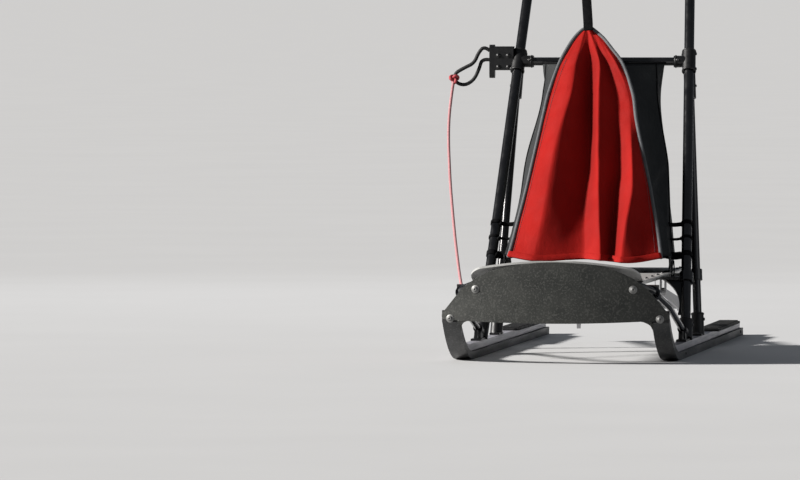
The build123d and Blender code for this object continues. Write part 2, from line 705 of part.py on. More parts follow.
def bag_cover():
    """Front panel of the bag, which tapers to a tip above the crossbar."""
    shoulder_z, shoulder_left, shoulder_right = COVER_SHOULDER
    waist_z, waist_left, waist_right = COVER_WAIST
    belly_z, belly_left, belly_right = COVER_BELLY
    hem = COVER_HEM_HALF
    tip = [(TIP_MIDDLE - TIP_HALF, BAG_TIP_Z), (TIP_MIDDLE + TIP_HALF, BAG_TIP_Z)]
    outline = make_face(
        Curve()
        + [
            Line((-hem, BAG_FLOOR_Z), (hem, BAG_FLOOR_Z)),
            ThreePointArc((hem, BAG_FLOOR_Z), (belly_right, belly_z), (waist_right, waist_z)),
            ThreePointArc((waist_right, waist_z), (shoulder_right, shoulder_z), tip[1]),
            Line(tip[1], tip[0]),
            ThreePointArc(tip[0], (shoulder_left, shoulder_z), (waist_left, waist_z)),
            ThreePointArc((waist_left, waist_z), (belly_left, belly_z), (-hem, BAG_FLOOR_Z)),
        ]
    )
    front = [(BAG_HEM_Y, BAG_FLOOR_Z), (BAG_TIP_Y, BAG_TIP_Z)]
    back = [(y + COVER_DEPTH, z) for y, z in reversed(front)]
    slab = side_plate(Polyline(*front, *back, close=True), 0, 4 * COVER_HEM_HALF)
    reach = BAG_TIP_Y + COVER_DEPTH - BAG_HEM_Y
    return slab & front_plate(outline, BAG_HEM_Y - PAST, reach + 2 * PAST)


def bag_side(z):
    """Half width of the bag beside the arms at a height."""
    for low, high in zip(BAG_SECTIONS, BAG_SECTIONS[1:]):
        if low[0] <= z <= high[0]:
            return low[3] + (z - low[0]) / (high[0] - low[0]) * (high[3] - low[3])


def bag_strap():
    """Webbing from a loop round the grip down to the bag's tip."""
    grip_radius = ARM_RADIUS + 2 * FIT + GRIP_THICK
    top = Vector(STRAP_TOP_X, on_line(ARM_FOOT, ARM_ALONG, BOW_TOP_Z).Y, BOW_TOP_Z)
    low = Vector(TIP_MIDDLE, BAG_TIP_Y + COVER_DEPTH / 2, BAG_TIP_Z + 2 * FIT + STRAP_THICK / 2)
    along = (low - top).normalized()
    loop = ring(top, CROSSWISE, grip_radius, grip_radius + STRAP_THICK, STRAP_WIDTH)
    flat = (CROSSWISE - along * CROSSWISE.dot(along)).normalized()
    start = top + along * (grip_radius + STRAP_THICK / 2)
    section = Plane(origin=start, x_dir=flat, z_dir=along) * Rectangle(STRAP_WIDTH, STRAP_THICK)
    return loop + extrude(section, amount=(low - start).length)


def ties(side):
    """Flat laces from the bag's side to loops round an arm."""
    laces = Part()
    for z in TIE_HEIGHTS:
        point = on_line(ARM_FOOT, ARM_ALONG, z)
        inner = bag_side(z) + 2 * FIT
        lace_y = (point.Y - TIE_WIDTH / 2, point.Y + TIE_WIDTH / 2)
        lace = block((inner, point.X), lace_y, (z - TIE_THICK / 2, z + TIE_THICK / 2))
        lace = lace + hub(point, ARM_ALONG, ARM_RADIUS + FIT + TIE_WALL, TIE_WIDTH)
        laces = laces + (lace - hub(point, ARM_ALONG, ARM_RADIUS + FIT, 4 * TIE_WIDTH))
    return laces if side > 0 else mirror(laces, about=Plane.YZ)


# Cleat and ropes

CLEAT_Z = CLAMP_Z + CLEAT_RISE
CLEAT_Y = on_line(ARM_FOOT, ARM_ALONG, CLEAT_Z).Y
CLEAT_INNER = CLAMP_X + ARM_RADIUS
HORN_INNER = CLAMP_X + ARM_HUB + CLEAT_REACH
HORN_OUTER = HORN_INNER + HORN_THICK


def cleat():
    """Block saddled on the right clamp, with an upright horn on its outer end."""
    body = Box(HORN_INNER - CLEAT_INNER, CLEAT_DEPTH, CLEAT_HEIGHT)
    body = fillet(body.edges().filter_by(Axis.X), CLEAT_ROUND)
    body = Pos((HORN_INNER + CLEAT_INNER) / 2, CLEAT_Y, CLEAT_Z) * body
    plane = Plane(origin=(HORN_INNER, CLEAT_Y, CLAMP_Z), x_dir=(0, 0, 1), z_dir=(1, 0, 0))
    horn = extrude(plane * SlotOverall(HORN_HEIGHT, HORN_WIDTH), amount=HORN_THICK)
    left = body + horn
    left = left - hub(CLAMP, ARM_ALONG, ARM_HUB + FIT, 2 * CLAMP_LENGTH)
    left = left - rod(CLAMP, CLAMP - UPRIGHT_ALONG * CLAMP_LENGTH, UPRIGHT_RADIUS + SOCKET_WALL + FIT)
    return mirror(left, about=Plane.YZ)


# The black loop leaves the horn, comes round the knot and goes back to the horn
LOOP_ROUTE = [
    (-302, 160, 778),
    (-320, 159, 790),
    (-337, 157, 773),
    (-352, 155, 747),
    (-376, 154, 733),
    (-396, 155, 716),
    (-393, 157, 695),
    (-368, 159, 690),
    (-345, 160, 706),
    (-332, 161, 733),
    (-322, 161, 755),
    (-302, 161, 754),
]
KNOT = Vector(-396, 155, 704)
# The red line hangs from the knot and runs forward to the hoop's right leg
LINE_ROUTE = [
    (-397, 153, 700),
    (-401, 130, 655),
    (-402, 92, 602),
    (-397, 40, 548),
    (-387, -25, 492),
    (-375, -100, 436),
    (-361, -180, 384),
    (-346, -265, 336),
    (-331, -350, 291),
    (-315, -437, 250),
    (-299, -525, 211),
    (-281, -612, 172),
    (-264, -690, 136.5),
]


def cord(points, diameter):
    """Rope along straight runs joined by tangent arcs."""
    radii = bend_radii(points)
    path = FilletPolyline(*points, radius=radii)
    tube = swept(path, diameter / 2)
    share = tube.volume / (pi * diameter**2 / 4 * path.length)
    print(f"cord {path.length:.0f} mm, volume share {share:.4f}, radii", [round(r) for r in radii])
    return tube


def hitch():
    """Turns of the line round the hoop's right leg."""
    point = hoop_leg(NOSE_Y + HITCH_FROM_NOSE)
    inner = HOOP_RADIUS + FIT
    turns = ring(point, HOOP_LEG_ALONG, inner, inner + HITCH_WALL, HITCH_LENGTH)
    return mirror(turns, about=Plane.YZ)


# Brake

HINGE = Vector(BRAKE_ARM_X, UPRIGHT_AT_BED.Y, HINGE_Z)
BRAKE_BAR = Vector(BRAKE_ARM_X, HINGE.Y + BRAKE_BAR_BEHIND, BRAKE_BAR_Z)


def hinge_lug():
    """Fork with its pin, under the rear cross member."""
    top = BED_Z - FIT
    half = EAR_GAP / 2 + EAR_THICK
    y = (HINGE.Y - EAR_RADIUS, HINGE.Y + EAR_RADIUS)
    fork = block((HINGE.X - half, HINGE.X + half), y, (HINGE.Z, top))
    fork = fork + hub(HINGE, CROSSWISE, EAR_RADIUS, 2 * half)
    slot = (HINGE.X - EAR_GAP / 2, HINGE.X + EAR_GAP / 2)
    fork = fork - block(slot, (y[0] - PAST, y[1] + PAST), (HINGE.Z - 2 * EAR_RADIUS, top - EAR_THICK))
    return fork + hub(HINGE, CROSSWISE, PIN_RADIUS, 2 * half)


def brake_arm():
    """Tapered bar from the eye on the hinge pin to a hub on the brake bar."""
    eye = Pos(HINGE.Y, HINGE.Z) * Circle(BRAKE_EYE_RADIUS)
    end = Pos(BRAKE_BAR.Y, BRAKE_BAR.Z) * Circle(BRAKE_HUB_RADIUS)
    outline = Plane.YZ * make_hull(eye.edges() + end.edges())
    plate = Pos(HINGE.X, 0, 0) * extrude(outline, amount=BRAKE_ARM_THICK / 2, both=True)
    plate = plate + hub(BRAKE_BAR, CROSSWISE, BRAKE_HUB_RADIUS, BRAKE_HUB_LENGTH)
    plate = plate - hub(BRAKE_BAR, CROSSWISE, BRAKE_BAR_RADIUS + FIT, 2 * BRAKE_HUB_LENGTH)
    return plate - hub(HINGE, CROSSWISE, PIN_RADIUS + EXACT_FIT, 2 * BRAKE_HUB_LENGTH)


def brake_bar():
    half = BRAKE_ARM_X + BRAKE_HUB_LENGTH / 2 + BRAKE_BAR_OVERHANG
    return hub(Vector(0, BRAKE_BAR.Y, BRAKE_BAR.Z), CROSSWISE, BRAKE_BAR_RADIUS, 2 * half)


def claw():
    """Hub on the brake bar with a curved tooth that points down and forward."""
    middle = Vector(CLAW_X, BRAKE_BAR.Y, BRAKE_BAR.Z)
    half_way = middle.Z - CLAW_DROP / 2
    tip = middle.Z - CLAW_DROP
    front = middle.Y - BRAKE_HUB_RADIUS + CLAW_SINK
    back = middle.Y + BRAKE_HUB_RADIUS - CLAW_SINK
    tip_front = front - CLAW_TIP_AHEAD
    tip_back = tip_front + CLAW_TIP_WIDTH
    edges = Curve() + [
        ThreePointArc((front, middle.Z), (front - CLAW_BELLY, half_way), (tip_front, tip)),
        Line((tip_front, tip), (tip_back, tip)),
        ThreePointArc((tip_back, tip), (middle.Y - CLAW_BACK, half_way), (back, middle.Z)),
        Line((back, middle.Z), (front, middle.Z)),
    ]
    solid = side_plate(edges, CLAW_X, CLAW_THICK)
    solid = solid + hub(middle, CROSSWISE, BRAKE_HUB_RADIUS, BRAKE_HUB_LENGTH)
    return solid - hub(middle, CROSSWISE, BRAKE_BAR_RADIUS + FIT, 2 * BRAKE_HUB_LENGTH)


def brake_pad():
    """Rubber sleeve in the middle of the brake bar."""
    inner = BRAKE_BAR_RADIUS + FIT
    middle = Vector(0, BRAKE_BAR.Y, BRAKE_BAR.Z)
    return ring(middle, CROSSWISE, inner, inner + PAD_THICK, 2 * PAD_HALF)


def both_sides(left):
    """A pair that shares one node."""
    return Compound(children=[left.solid(), mirror(left, about=Plane.YZ).solid()])


# Each sub-part is written to its own file

save_pair("runner_shoe", shoe())
save_pair("runner_rail", rail())
save_pair("tip_block", tip_block())
save_pair("arm_bracket", arm_bracket())
save_pair("upright_bracket", upright_bracket())
save_pair("arm", arm())
save_pair("upright", upright())
save_pair("clamp", clamp())
save_pair("side_bar", side_bar())
save_pair("gusset", gusset())
save_pair("footboard", footboard())
save_pair("brake_arm", brake_arm())

save("front_guard", guard())
save("front_hoop", hoop())
save("handle_bow", swept(bow_path(), ARM_RADIUS))
save("handle_grip", grip())
save("crossbar", crossbar())
# name, point of the tube, its direction, its radius, the collar's wall and length
CROSS_MEMBERS = [
    ("front", hoop_side(FRONT_CROSS_Y), HOOP_SIDE_ALONG, HOOP_RADIUS, HOOP_COLLAR_WALL, HOOP_COLLAR_LENGTH),
    ("middle", ARM_AT_BED, ARM_ALONG, ARM_RADIUS, COLLAR_WALL, COLLAR_LENGTH),
    ("rear", UPRIGHT_AT_BED, UPRIGHT_ALONG, UPRIGHT_RADIUS, COLLAR_WALL, COLLAR_LENGTH),
]
for name, point, along, radius, wall, length in CROSS_MEMBERS:
    save(f"cross_member_{name}", cross_member(point, along, radius, wall, length))
save("bed_sheet", bed_sheet())
save("bag_body", bag_body())
save("bag_cover", bag_cover())
save("bag_strap", bag_strap())
save("bag_ties_left", ties(1))
save("bag_ties_right", ties(-1))
save("rope_cleat", cleat())
save("rope_loop", cord(LOOP_ROUTE, LOOP_DIAMETER))
save("rope_knot", Pos(KNOT) * Sphere(KNOT_RADIUS))
save("snub_line", cord(LINE_ROUTE, LINE_DIAMETER))
save("snub_hitch", hitch())
save("brake_hinges", both_sides(hinge_lug()))
save("brake_bar", brake_bar())
save("brake_claws", both_sides(claw()))
save("brake_pad", brake_pad())
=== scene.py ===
from math import cos, exp, pi, radians, sin, sqrt

import bmesh
import bpy
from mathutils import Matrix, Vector, noise


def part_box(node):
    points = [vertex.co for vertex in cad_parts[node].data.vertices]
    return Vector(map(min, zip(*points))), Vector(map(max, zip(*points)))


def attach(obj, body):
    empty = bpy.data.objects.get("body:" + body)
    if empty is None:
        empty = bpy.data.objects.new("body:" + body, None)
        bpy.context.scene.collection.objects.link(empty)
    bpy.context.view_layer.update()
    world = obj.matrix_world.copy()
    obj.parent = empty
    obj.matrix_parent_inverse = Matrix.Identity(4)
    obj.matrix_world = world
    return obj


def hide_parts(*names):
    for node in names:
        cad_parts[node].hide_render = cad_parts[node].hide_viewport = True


# Looks of a racing dog sled, in metres. +X is the sled's left, -Y its nose, +Z up.

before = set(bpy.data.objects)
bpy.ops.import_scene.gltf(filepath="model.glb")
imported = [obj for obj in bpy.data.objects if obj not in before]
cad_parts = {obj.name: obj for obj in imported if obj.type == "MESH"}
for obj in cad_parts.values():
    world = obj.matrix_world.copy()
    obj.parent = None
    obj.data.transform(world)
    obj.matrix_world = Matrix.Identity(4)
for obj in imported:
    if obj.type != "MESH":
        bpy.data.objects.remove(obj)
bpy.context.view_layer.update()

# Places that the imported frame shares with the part's source
RUNNER_X = 0.265
ARM_FOOT = Vector((0.265, -0.345, 0.0453))
UPRIGHT_FOOT = Vector((0.265, -0.005, 0.0453))
CLAMP = Vector((0.225, 0.155, 0.750))
ARM_ALONG = (CLAMP - ARM_FOOT).normalized()
UPRIGHT_ALONG = (CLAMP - UPRIGHT_FOOT).normalized()
CROSSWISE = Vector((1, 0, 0))
ARM_RADIUS = 0.013
ARM_HUB = 0.0175
CLAMP_SOCKET = 0.0155
ARM_SOCKET = 0.018
UPRIGHT_SOCKET = 0.016
GUARD_LOW, GUARD_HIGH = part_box("front_guard")
GUARD_HALF = GUARD_HIGH.x
GUARD_SWEEP = 0.045
GUARD_RADIUS = (GUARD_HALF**2 + GUARD_SWEEP**2) / (2 * GUARD_SWEEP)
GUARD_CENTRE_Y = GUARD_LOW.y + GUARD_RADIUS


def on_line(point, along, z):
    """Point of a leg's centre line at a height."""
    return point + along * ((z - point.z) / along.z)


def mirrored(point):
    return Vector((-point.x, point.y, point.z))


def placed(name, data):
    """A new object in the scene."""
    made = bpy.data.objects.new(name, data)
    bpy.context.scene.collection.objects.link(made)
    return made


# Camera, as in the photograph: from far off, low and a little to the sled's left
CAMERA_PLACE = Vector((2.670, -24.850, 0.975))
CAMERA_YAW = 7.315
CAMERA_PITCH = 1.582
CAMERA_LENS = 430.5


def make_camera():
    data = bpy.data.cameras.new("camera")
    data.lens = CAMERA_LENS
    data.clip_end = 2000
    camera = placed("camera", data)
    camera.location = CAMERA_PLACE
    camera.rotation_euler = (radians(90 - CAMERA_PITCH), 0, radians(CAMERA_YAW))
    bpy.context.scene.camera = camera


# Materials

# Places of the colour sockets on a mix node
MIX_A = 6
MIX_B = 7
MIX_RESULT = 2

# Every finish by its name
MATERIALS = {}


def fill(node, values):
    """Sets a node's inputs by name."""
    for name, value in values.items():
        node.inputs[name].default_value = value
    return node


class Finish:
    """A material whose colour, gloss and relief come from procedural textures."""

    def __init__(self, name, roughness=0.5, metallic=0.0, specular=0.5):
        self.material = bpy.data.materials.new("finish_" + name)
        MATERIALS[name] = self.material
        self.material.use_nodes = True
        self.nodes = self.material.node_tree.nodes
        self.links = self.material.node_tree.links
        self.shader = self.nodes["Principled BSDF"]
        fill(self.shader, {"Roughness": roughness, "Metallic": metallic})
        fill(self.shader, {"Specular IOR Level": specular})
        self.where = self.node("TexCoord")
        self.normal = None

    def node(self, kind, values=None):
        return fill(self.nodes.new("ShaderNode" + kind), values or {})

    def noise(self, scale, detail=4.0, stretch=(1, 1, 1)):
        mapping = self.node("Mapping", {"Scale": stretch})
        self.links.new(self.where.outputs["Object"], mapping.inputs["Vector"])
        node = self.node("TexNoise", {"Scale": scale, "Detail": detail})
        self.links.new(mapping.outputs["Vector"], node.inputs["Vector"])
        return node.outputs["Fac"]

    def ramp(self, value, stops):
        node = self.node("ValToRGB")
        elements = node.color_ramp.elements
        while len(elements) < len(stops):
            elements.new(0.5)
        for element, (place, colour) in zip(elements, stops):
            element.position = place
            element.color = (*colour, 1)
        self.links.new(value, node.inputs["Fac"])
        return node.outputs["Color"]

    def colour(self, first, second, scale, detail=4.0, stretch=(1, 1, 1), start=0.3):
        """Base colour that drifts between two colours."""
        stops = [(start, first), (0.7, second)]
        mixed = self.ramp(self.noise(scale, detail, stretch), stops)
        self.links.new(mixed, self.shader.inputs["Base Color"])
        return self

    def specks(self, below, above, scale, edge=0.62):
        """Scuffs of a second colour over a first, which drifts a little."""
        soft_edge = [(edge - 0.04, (0, 0, 0)), (edge + 0.05, (1, 1, 1))]
        fine = self.ramp(self.noise(scale, 8.0), soft_edge)
        slow = self.ramp(self.noise(scale / 12, 3.0), [(0.3, below[0]), (0.7, below[1])])
        mix = self.node("Mix")
        mix.data_type = "RGBA"
        self.links.new(fine, mix.inputs["Factor"])
        self.links.new(slow, mix.inputs[MIX_A])
        mix.inputs[MIX_B].default_value = (*above, 1)
        self.links.new(mix.outputs[MIX_RESULT], self.shader.inputs["Base Color"])
        return self

    def gloss(self, low, high, scale, stretch=(1, 1, 1)):
        """Roughness that drifts between two values."""
        span = {"From Min": 0.3, "From Max": 0.7, "To Min": low, "To Max": high}
        node = self.node("MapRange", span)
        self.links.new(self.noise(scale, 5.0, stretch), node.inputs["Value"])
        self.links.new(node.outputs["Result"], self.shader.inputs["Roughness"])
        return self

    def relief(self, height, depth):
        """Bump from a height between 0 and 1, over any bump made before."""
        node = self.node("Bump", {"Distance": depth, "Strength": 1})
        self.links.new(height, node.inputs["Height"])
        if self.normal is not None:
            self.links.new(self.normal, node.inputs["Normal"])
        self.normal = node.outputs["Normal"]
        self.links.new(self.normal, self.shader.inputs["Normal"])
        return self

    def grain(self, scale, depth, stretch=(1, 1, 1), detail=6.0):
        return self.relief(self.noise(scale, detail, stretch), depth)

    def bands(self, pitch, direction):
        """Bands across one direction, a pitch apart."""
        node = self.node("TexWave", {"Scale": pi / (10 * pitch)})
        node.bands_direction = direction
        self.links.new(self.where.outputs["UV"], node.inputs["Vector"])
        return node.outputs["Fac"]

    def weave(self, pitch, depth):
        """Crossing threads, from the piece's own lengths along and across."""
        node = self.node("Math")
        node.operation = "MULTIPLY"
        self.links.new(self.bands(pitch, "X"), node.inputs[0])
        self.links.new(self.bands(pitch, "Y"), node.inputs[1])
        return self.relief(node.outputs["Value"], depth)

    def painted_fold_shade(self, reach, darkest):
        """Painted shade: the colour darkens by ambient occlusion in the folds, where little of the
        sky is seen.
        """
        sky = self.node("AmbientOcclusion", {"Distance": reach})
        sky.samples = 8
        sky.only_local = True
        span = {"From Min": 0.35, "From Max": 0.92, "To Min": darkest}
        share = self.node("MapRange", span)
        self.links.new(sky.outputs["AO"], share.inputs["Value"])
        mix = self.node("Mix", {"Factor": 1})
        mix.data_type = "RGBA"
        mix.blend_type = "MULTIPLY"
        colour = self.shader.inputs["Base Color"]
        self.links.new(colour.links[0].from_socket, mix.inputs[MIX_A])
        self.links.new(share.outputs["Result"], mix.inputs[MIX_B])
        self.links.new(mix.outputs[MIX_RESULT], colour)
        return self

    def fabric(self, tint, weight):
        """Sheen of fine threads."""
        sheen = {"Sheen Weight": weight, "Sheen Roughness": 0.5, "Sheen Tint": (*tint, 1)}
        fill(self.shader, sheen)
        return self


def make_materials():
    """One finish for each material slot of the record, and some looks for small pieces."""
    rail = Finish("rail_alloy", metallic=0.5)
    rail.colour((0.29, 0.29, 0.32), (0.42, 0.41, 0.45), 60, 5, (1, 0.04, 1))
    rail.gloss(0.30, 0.52, 300, (1, 0.03, 1)).grain(900, 0.00008, (1, 0.02, 1))

    shoe = Finish("shoe_plastic", specular=0.4)
    shoe.specks([(0.026, 0.027, 0.028), (0.042, 0.043, 0.044)], (0.078, 0.079, 0.080), 230, 0.59)
    shoe.gloss(0.38, 0.6, 40, (1, 0.1, 1)).grain(350, 0.0002, (1, 0.05, 1))

    tube = Finish("frame_tube", specular=0.75)
    tube.colour((0.0022, 0.0022, 0.0029), (0.0058, 0.0058, 0.0065), 30, start=0.35)
    tube.gloss(0.16, 0.26, 50).grain(700, 0.00001)

    clamp = Finish("clamp_plastic", specular=0.4)
    clamp.colour((0.0029, 0.0029, 0.0036), (0.0072, 0.0072, 0.0079), 80, start=0.35)
    clamp.gloss(0.34, 0.5, 90).grain(1600, 0.00008)

    guard = Finish("guard_plastic", specular=0.4)
    dark_green = [(0.0122, 0.0137, 0.0122), (0.026, 0.027, 0.024)]
    guard.specks(dark_green, (0.042, 0.043, 0.039), 210, 0.56)
    guard.gloss(0.45, 0.68, 30).grain(260, 0.0005)

    bed = Finish("bed_plastic", specular=0.4)
    bed.colour((0.310, 0.310, 0.302), (0.353, 0.353, 0.346), 40, 8, (1, 0.15, 1))
    bed.gloss(0.34, 0.52, 120, (1, 0.06, 1)).grain(420, 0.00025, (1, 0.03, 1))

    red = Finish("bag_red", specular=0.12)
    red.colour((0.230, 0.0040, 0.0025), (0.302, 0.0065, 0.0043), 7, 5)
    red.gloss(0.70, 0.84, 25).grain(60, 0.0012, (1, 1, 0.4), 5).weave(0.0011, 0.00022)
    # Painted shade: the red's colour darkens in its folds through ambient occlusion.
    red.fabric((1.0, 0.15, 0.1), 0.03).painted_fold_shade(0.09, 0.40)

    grey = Finish("bag_grey", specular=0.25)
    grey.colour((0.0094, 0.0108, 0.0119), (0.0166, 0.0184, 0.0194), 7, 5)
    grey.gloss(0.55, 0.7, 25).grain(45, 0.0024, (1, 1, 0.5), 5).weave(0.0012, 0.00025)
    grey.fabric((0.8, 0.85, 0.9), 0.03)

    piping = Finish("bag_piping", roughness=0.6, specular=0.3)
    piping.colour((0.068, 0.071, 0.077), (0.098, 0.102, 0.108), 60, 5)
    piping.weave(0.0012, 0.0003).fabric((0.9, 0.92, 0.95), 0.12)

    webbing = Finish("webbing", roughness=0.75, specular=0.05)
    webbing.colour((0.0029, 0.0029, 0.0036), (0.0065, 0.0065, 0.0072), 90)
    webbing.weave(0.0018, 0.0004)

    foam = Finish("foam_grip", specular=0.3)
    foam.colour((0.0072, 0.0072, 0.0072), (0.0158, 0.0158, 0.0151), 120)
    foam.gloss(0.68, 0.85, 80).grain(1800, 0.00025)

    rubber = Finish("board_rubber", specular=0.3)
    near_black = [(0.0079, 0.0079, 0.0086), (0.0144, 0.0144, 0.0144)]
    rubber.specks(near_black, (0.043, 0.043, 0.042), 120, 0.66)
    rubber.gloss(0.6, 0.82, 60).grain(1200, 0.0002)

    black = Finish("rope_black", roughness=0.65, specular=0.3)
    black.colour((0.0036, 0.0036, 0.0043), (0.0094, 0.0094, 0.0101), 220)
    black.grain(1500, 0.0002, (1, 1, 0.3)).fabric((0.6, 0.6, 0.6), 0.05)

    pink = Finish("rope_red", roughness=0.65, specular=0.3)
    pink.colour((0.317, 0.122, 0.130), (0.418, 0.216, 0.223), 220)
    pink.grain(1500, 0.0002, (1, 1, 0.3)).fabric((1.0, 0.8, 0.8), 0.1)

    knot = Finish("knot_red", roughness=0.6, specular=0.3)
    knot.colour((0.288, 0.025, 0.032), (0.389, 0.058, 0.068), 220)
    knot.grain(1500, 0.0002, (1, 1, 0.3)).fabric((1.0, 0.6, 0.6), 0.1)

    steel = Finish("brake_steel", metallic=0.9)
    steel.colour((0.28, 0.28, 0.29), (0.38, 0.38, 0.39), 260, 8)
    steel.gloss(0.36, 0.52, 160).grain(900, 0.0001)

    dull = Finish("dull_steel", metallic=0.6)
    dull.colour((0.13, 0.13, 0.13), (0.21, 0.21, 0.205), 120, 6)
    dull.gloss(0.5, 0.66, 150).grain(600, 0.0002)

    zinc = Finish("dark_zinc", metallic=0.8)
    zinc.colour((0.055, 0.055, 0.057), (0.10, 0.10, 0.10), 90, 6)
    zinc.gloss(0.36, 0.5, 150).grain(900, 0.0001)


def pairs(*names):
    """The left and the right node of each name."""
    return [name + side for name in names for side in ("_left", "_right")]


NODE_SLOTS = {
    "rail_alloy": pairs("runner_rail"),
    "shoe_plastic": pairs("runner_shoe"),
    "frame_tube": [
        *pairs("arm", "upright", "side_bar"), "handle_bow", "crossbar", "front_hoop",
        "cross_member_front", "cross_member_middle", "cross_member_rear",
    ],
    "clamp_plastic": [
        *pairs("clamp", "tip_block", "arm_bracket", "upright_bracket", "gusset"), "rope_cleat",
    ],
    "guard_plastic": ["front_guard"],
    "bed_plastic": ["bed_sheet"],
    "foam_grip": ["handle_grip"],
    "board_rubber": [*pairs("footboard"), "brake_pad"],
    "brake_steel": [*pairs("brake_arm"), "brake_bar", "brake_claws", "brake_hinges"],
}


def dress_nodes():
    """The solids that show keep their shape and take a finish."""
    for slot, names in NODE_SLOTS.items():
        for name in names:
            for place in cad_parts[name].material_slots:
                place.link = "OBJECT"
                place.material = MATERIALS[slot]


# Mesh helpers


def add_piece(name, verts, faces, slot, uvs=None, look=None, sheet=False):
    """A mesh piece that rides on the sled and takes a slot's finish, or a look of its own."""
    mesh = bpy.data.meshes.new(name)
    mesh.from_pydata([tuple(v) for v in verts], [], faces)
    if not sheet:
        work = bmesh.new()
        work.from_mesh(mesh)
        bmesh.ops.recalc_face_normals(work, faces=work.faces)
        work.to_mesh(mesh)
        work.free()
    if uvs is not None:
        layer = mesh.uv_layers.new(name="UVMap")
        for loop in mesh.loops:
            layer.data[loop.index].uv = uvs[loop.vertex_index]
    mesh.polygons.foreach_set("use_smooth", [True] * len(mesh.polygons))
    mesh.materials.append(MATERIALS[look or slot])
    mesh.update()
    piece = placed(name, mesh)
    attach(piece, "sled")
    return piece


def add_swept(name, points, section, slot, look=None, across=None, closed=False):
    """A piece that is one section carried along a path."""
    verts, faces, uvs = swept(points, section, across, closed)
    return add_piece(name, verts, faces, slot, uvs, look)


class Batch:
    """Many small forms gathered into one mesh."""

    def __init__(self):
        self.verts = []
        self.faces = []
        self.uvs = []

    def add(self, verts, faces, uvs=None):
        first = len(self.verts)
        self.verts += verts
        self.faces += [tuple(first + index for index in face) for face in faces]
        self.uvs += uvs or [(0, 0)] * len(verts)

    def piece(self, name, slot, look=None):
        return add_piece(name, self.verts, self.faces, slot, self.uvs, look)


def grid_faces(rows, columns, closed=False):
    """Faces between rows of points, whose ends meet where the rows are closed."""
    faces = []
    for row in range(rows - 1):
        for column in range(columns if closed else columns - 1):
            beside = (column + 1) % columns
            below, above = row * columns, (row + 1) * columns
            faces.append((below + column, below + beside, above + beside, above + column))
    return faces


def slab_faces(rows, columns):
    """Faces of a grid of points, of the same grid behind it, and of the rim between them."""
    behind = rows * columns
    front = grid_faces(rows, columns)
    back = [tuple(behind + index for index in reversed(face)) for face in front]
    rim = list(range(columns)) + [row * columns + columns - 1 for row in range(1, rows)]
    rim += [(rows - 1) * columns + column for column in range(columns - 2, -1, -1)]
    rim += [row * columns for row in range(rows - 2, 0, -1)]
    edge = [(a, b, behind + b, behind + a) for a, b in zip(rim, rim[1:] + rim[:1])]
    return front + back + edge


def ring_points(centre, axis, radius, count):
    """Points of a circle about an axis."""
    first = axis.orthogonal().normalized()
    second = axis.cross(first)
    angles = [2 * pi * k / count for k in range(count)]
    return [centre + (first * cos(angle) + second * sin(angle)) * radius for angle in angles]


def along_path(points, closed=False):
    """Direction of a path at each of its points."""
    count = len(points)
    result = []
    for index in range(count):
        before = points[index - 1] if index or closed else points[0]
        after = points[(index + 1) % count] if index < count - 1 or closed else points[-1]
        result.append((after - before).normalized())
    return result


def swept(points, section, across=None, closed=False):
    """Vertices, faces and lengths of a section carried along a path.

    The section is a list of (width, height) points, or a function that gives one at a length.
    across holds the width's direction, otherwise it turns as little as it can.
    """
    points = [Vector(p) for p in points]
    directions = along_path(points, closed)
    side = Vector(across) if across is not None else directions[0].orthogonal()
    verts, uvs = [], []
    run = 0.0
    for index, (point, along) in enumerate(zip(points, directions)):
        if index:
            run += (point - points[index - 1]).length
        if across is not None:
            side = Vector(across)
        side = (side - along * side.dot(along)).normalized()
        up = side.cross(along)
        outline = section(run) if callable(section) else section
        girth = 0.0
        before = outline[0]
        for width, height in outline:
            girth += sqrt((width - before[0]) ** 2 + (height - before[1]) ** 2)
            before = (width, height)
            verts.append(point + side * width + up * height)
            uvs.append((girth, run))
    sides = len(outline)
    rings = len(points)
    faces = grid_faces(rings + 1 if closed else rings, sides, closed=True)
    if closed:
        faces = [tuple(index % len(verts) for index in face) for face in faces]
    else:
        faces.append(tuple(range(sides))[::-1])
        faces.append(tuple((rings - 1) * sides + place for place in range(sides)))
    return verts, faces, uvs


def round_section(radius, sides=12):
    angles = [2 * pi * k / sides for k in range(sides)]
    return [(radius * cos(angle), radius * sin(angle)) for angle in angles]


def flat_section(width, thick):
    """Flat band with soft edges."""
    half = width / 2
    edge = thick / 2
    side = [(half - edge, edge), (half - edge * 0.3, edge * 0.7), (half, 0)]
    side += [(half - edge * 0.3, -edge * 0.7), (half - edge, -edge)]
    left = [(-x, y) for x, y in reversed(side)]
    return [(0, edge)] + side + [(0, -edge)] + left


def turned(profile, place, axis, sides=20):
    """A profile of (radius, height) points turned about an axis."""
    axis = Vector(axis).normalized()
    verts = []
    for radius, height in profile:
        verts += ring_points(place + axis * height, axis, radius, sides)
    faces = grid_faces(len(profile), sides, closed=True)
    faces.append(tuple((len(profile) - 1) * sides + k for k in range(sides)))
    return verts, faces


def smooth_step(t):
    """Eased way from 0 to 1, flat before and after."""
    t = min(max(t, 0), 1)
    return t * t * (3 - 2 * t)


def between(table, height):
    """Row of a table at a height, on smooth curves through its rows."""
    rows = sorted(table)
    height = min(max(height, rows[0][0]), rows[-1][0])
    index = next(i for i in range(len(rows) - 1) if height <= rows[i + 1][0])
    low, high = rows[index], rows[index + 1]
    before = rows[max(index - 1, 0)]
    after = rows[min(index + 2, len(rows) - 1)]
    t = (height - low[0]) / (high[0] - low[0])
    span = high[0] - low[0]
    result = []
    for column in range(1, len(low)):
        start = (high[column] - before[column]) / (high[0] - before[0]) * span
        end = (after[column] - low[column]) / (after[0] - low[0]) * span
        value = (2 * t**3 - 3 * t**2 + 1) * low[column] + (t**3 - 2 * t**2 + t) * start
        value += (3 * t**2 - 2 * t**3) * high[column] + (t**3 - t**2) * end
        result.append(value)
    return result


# Ropes


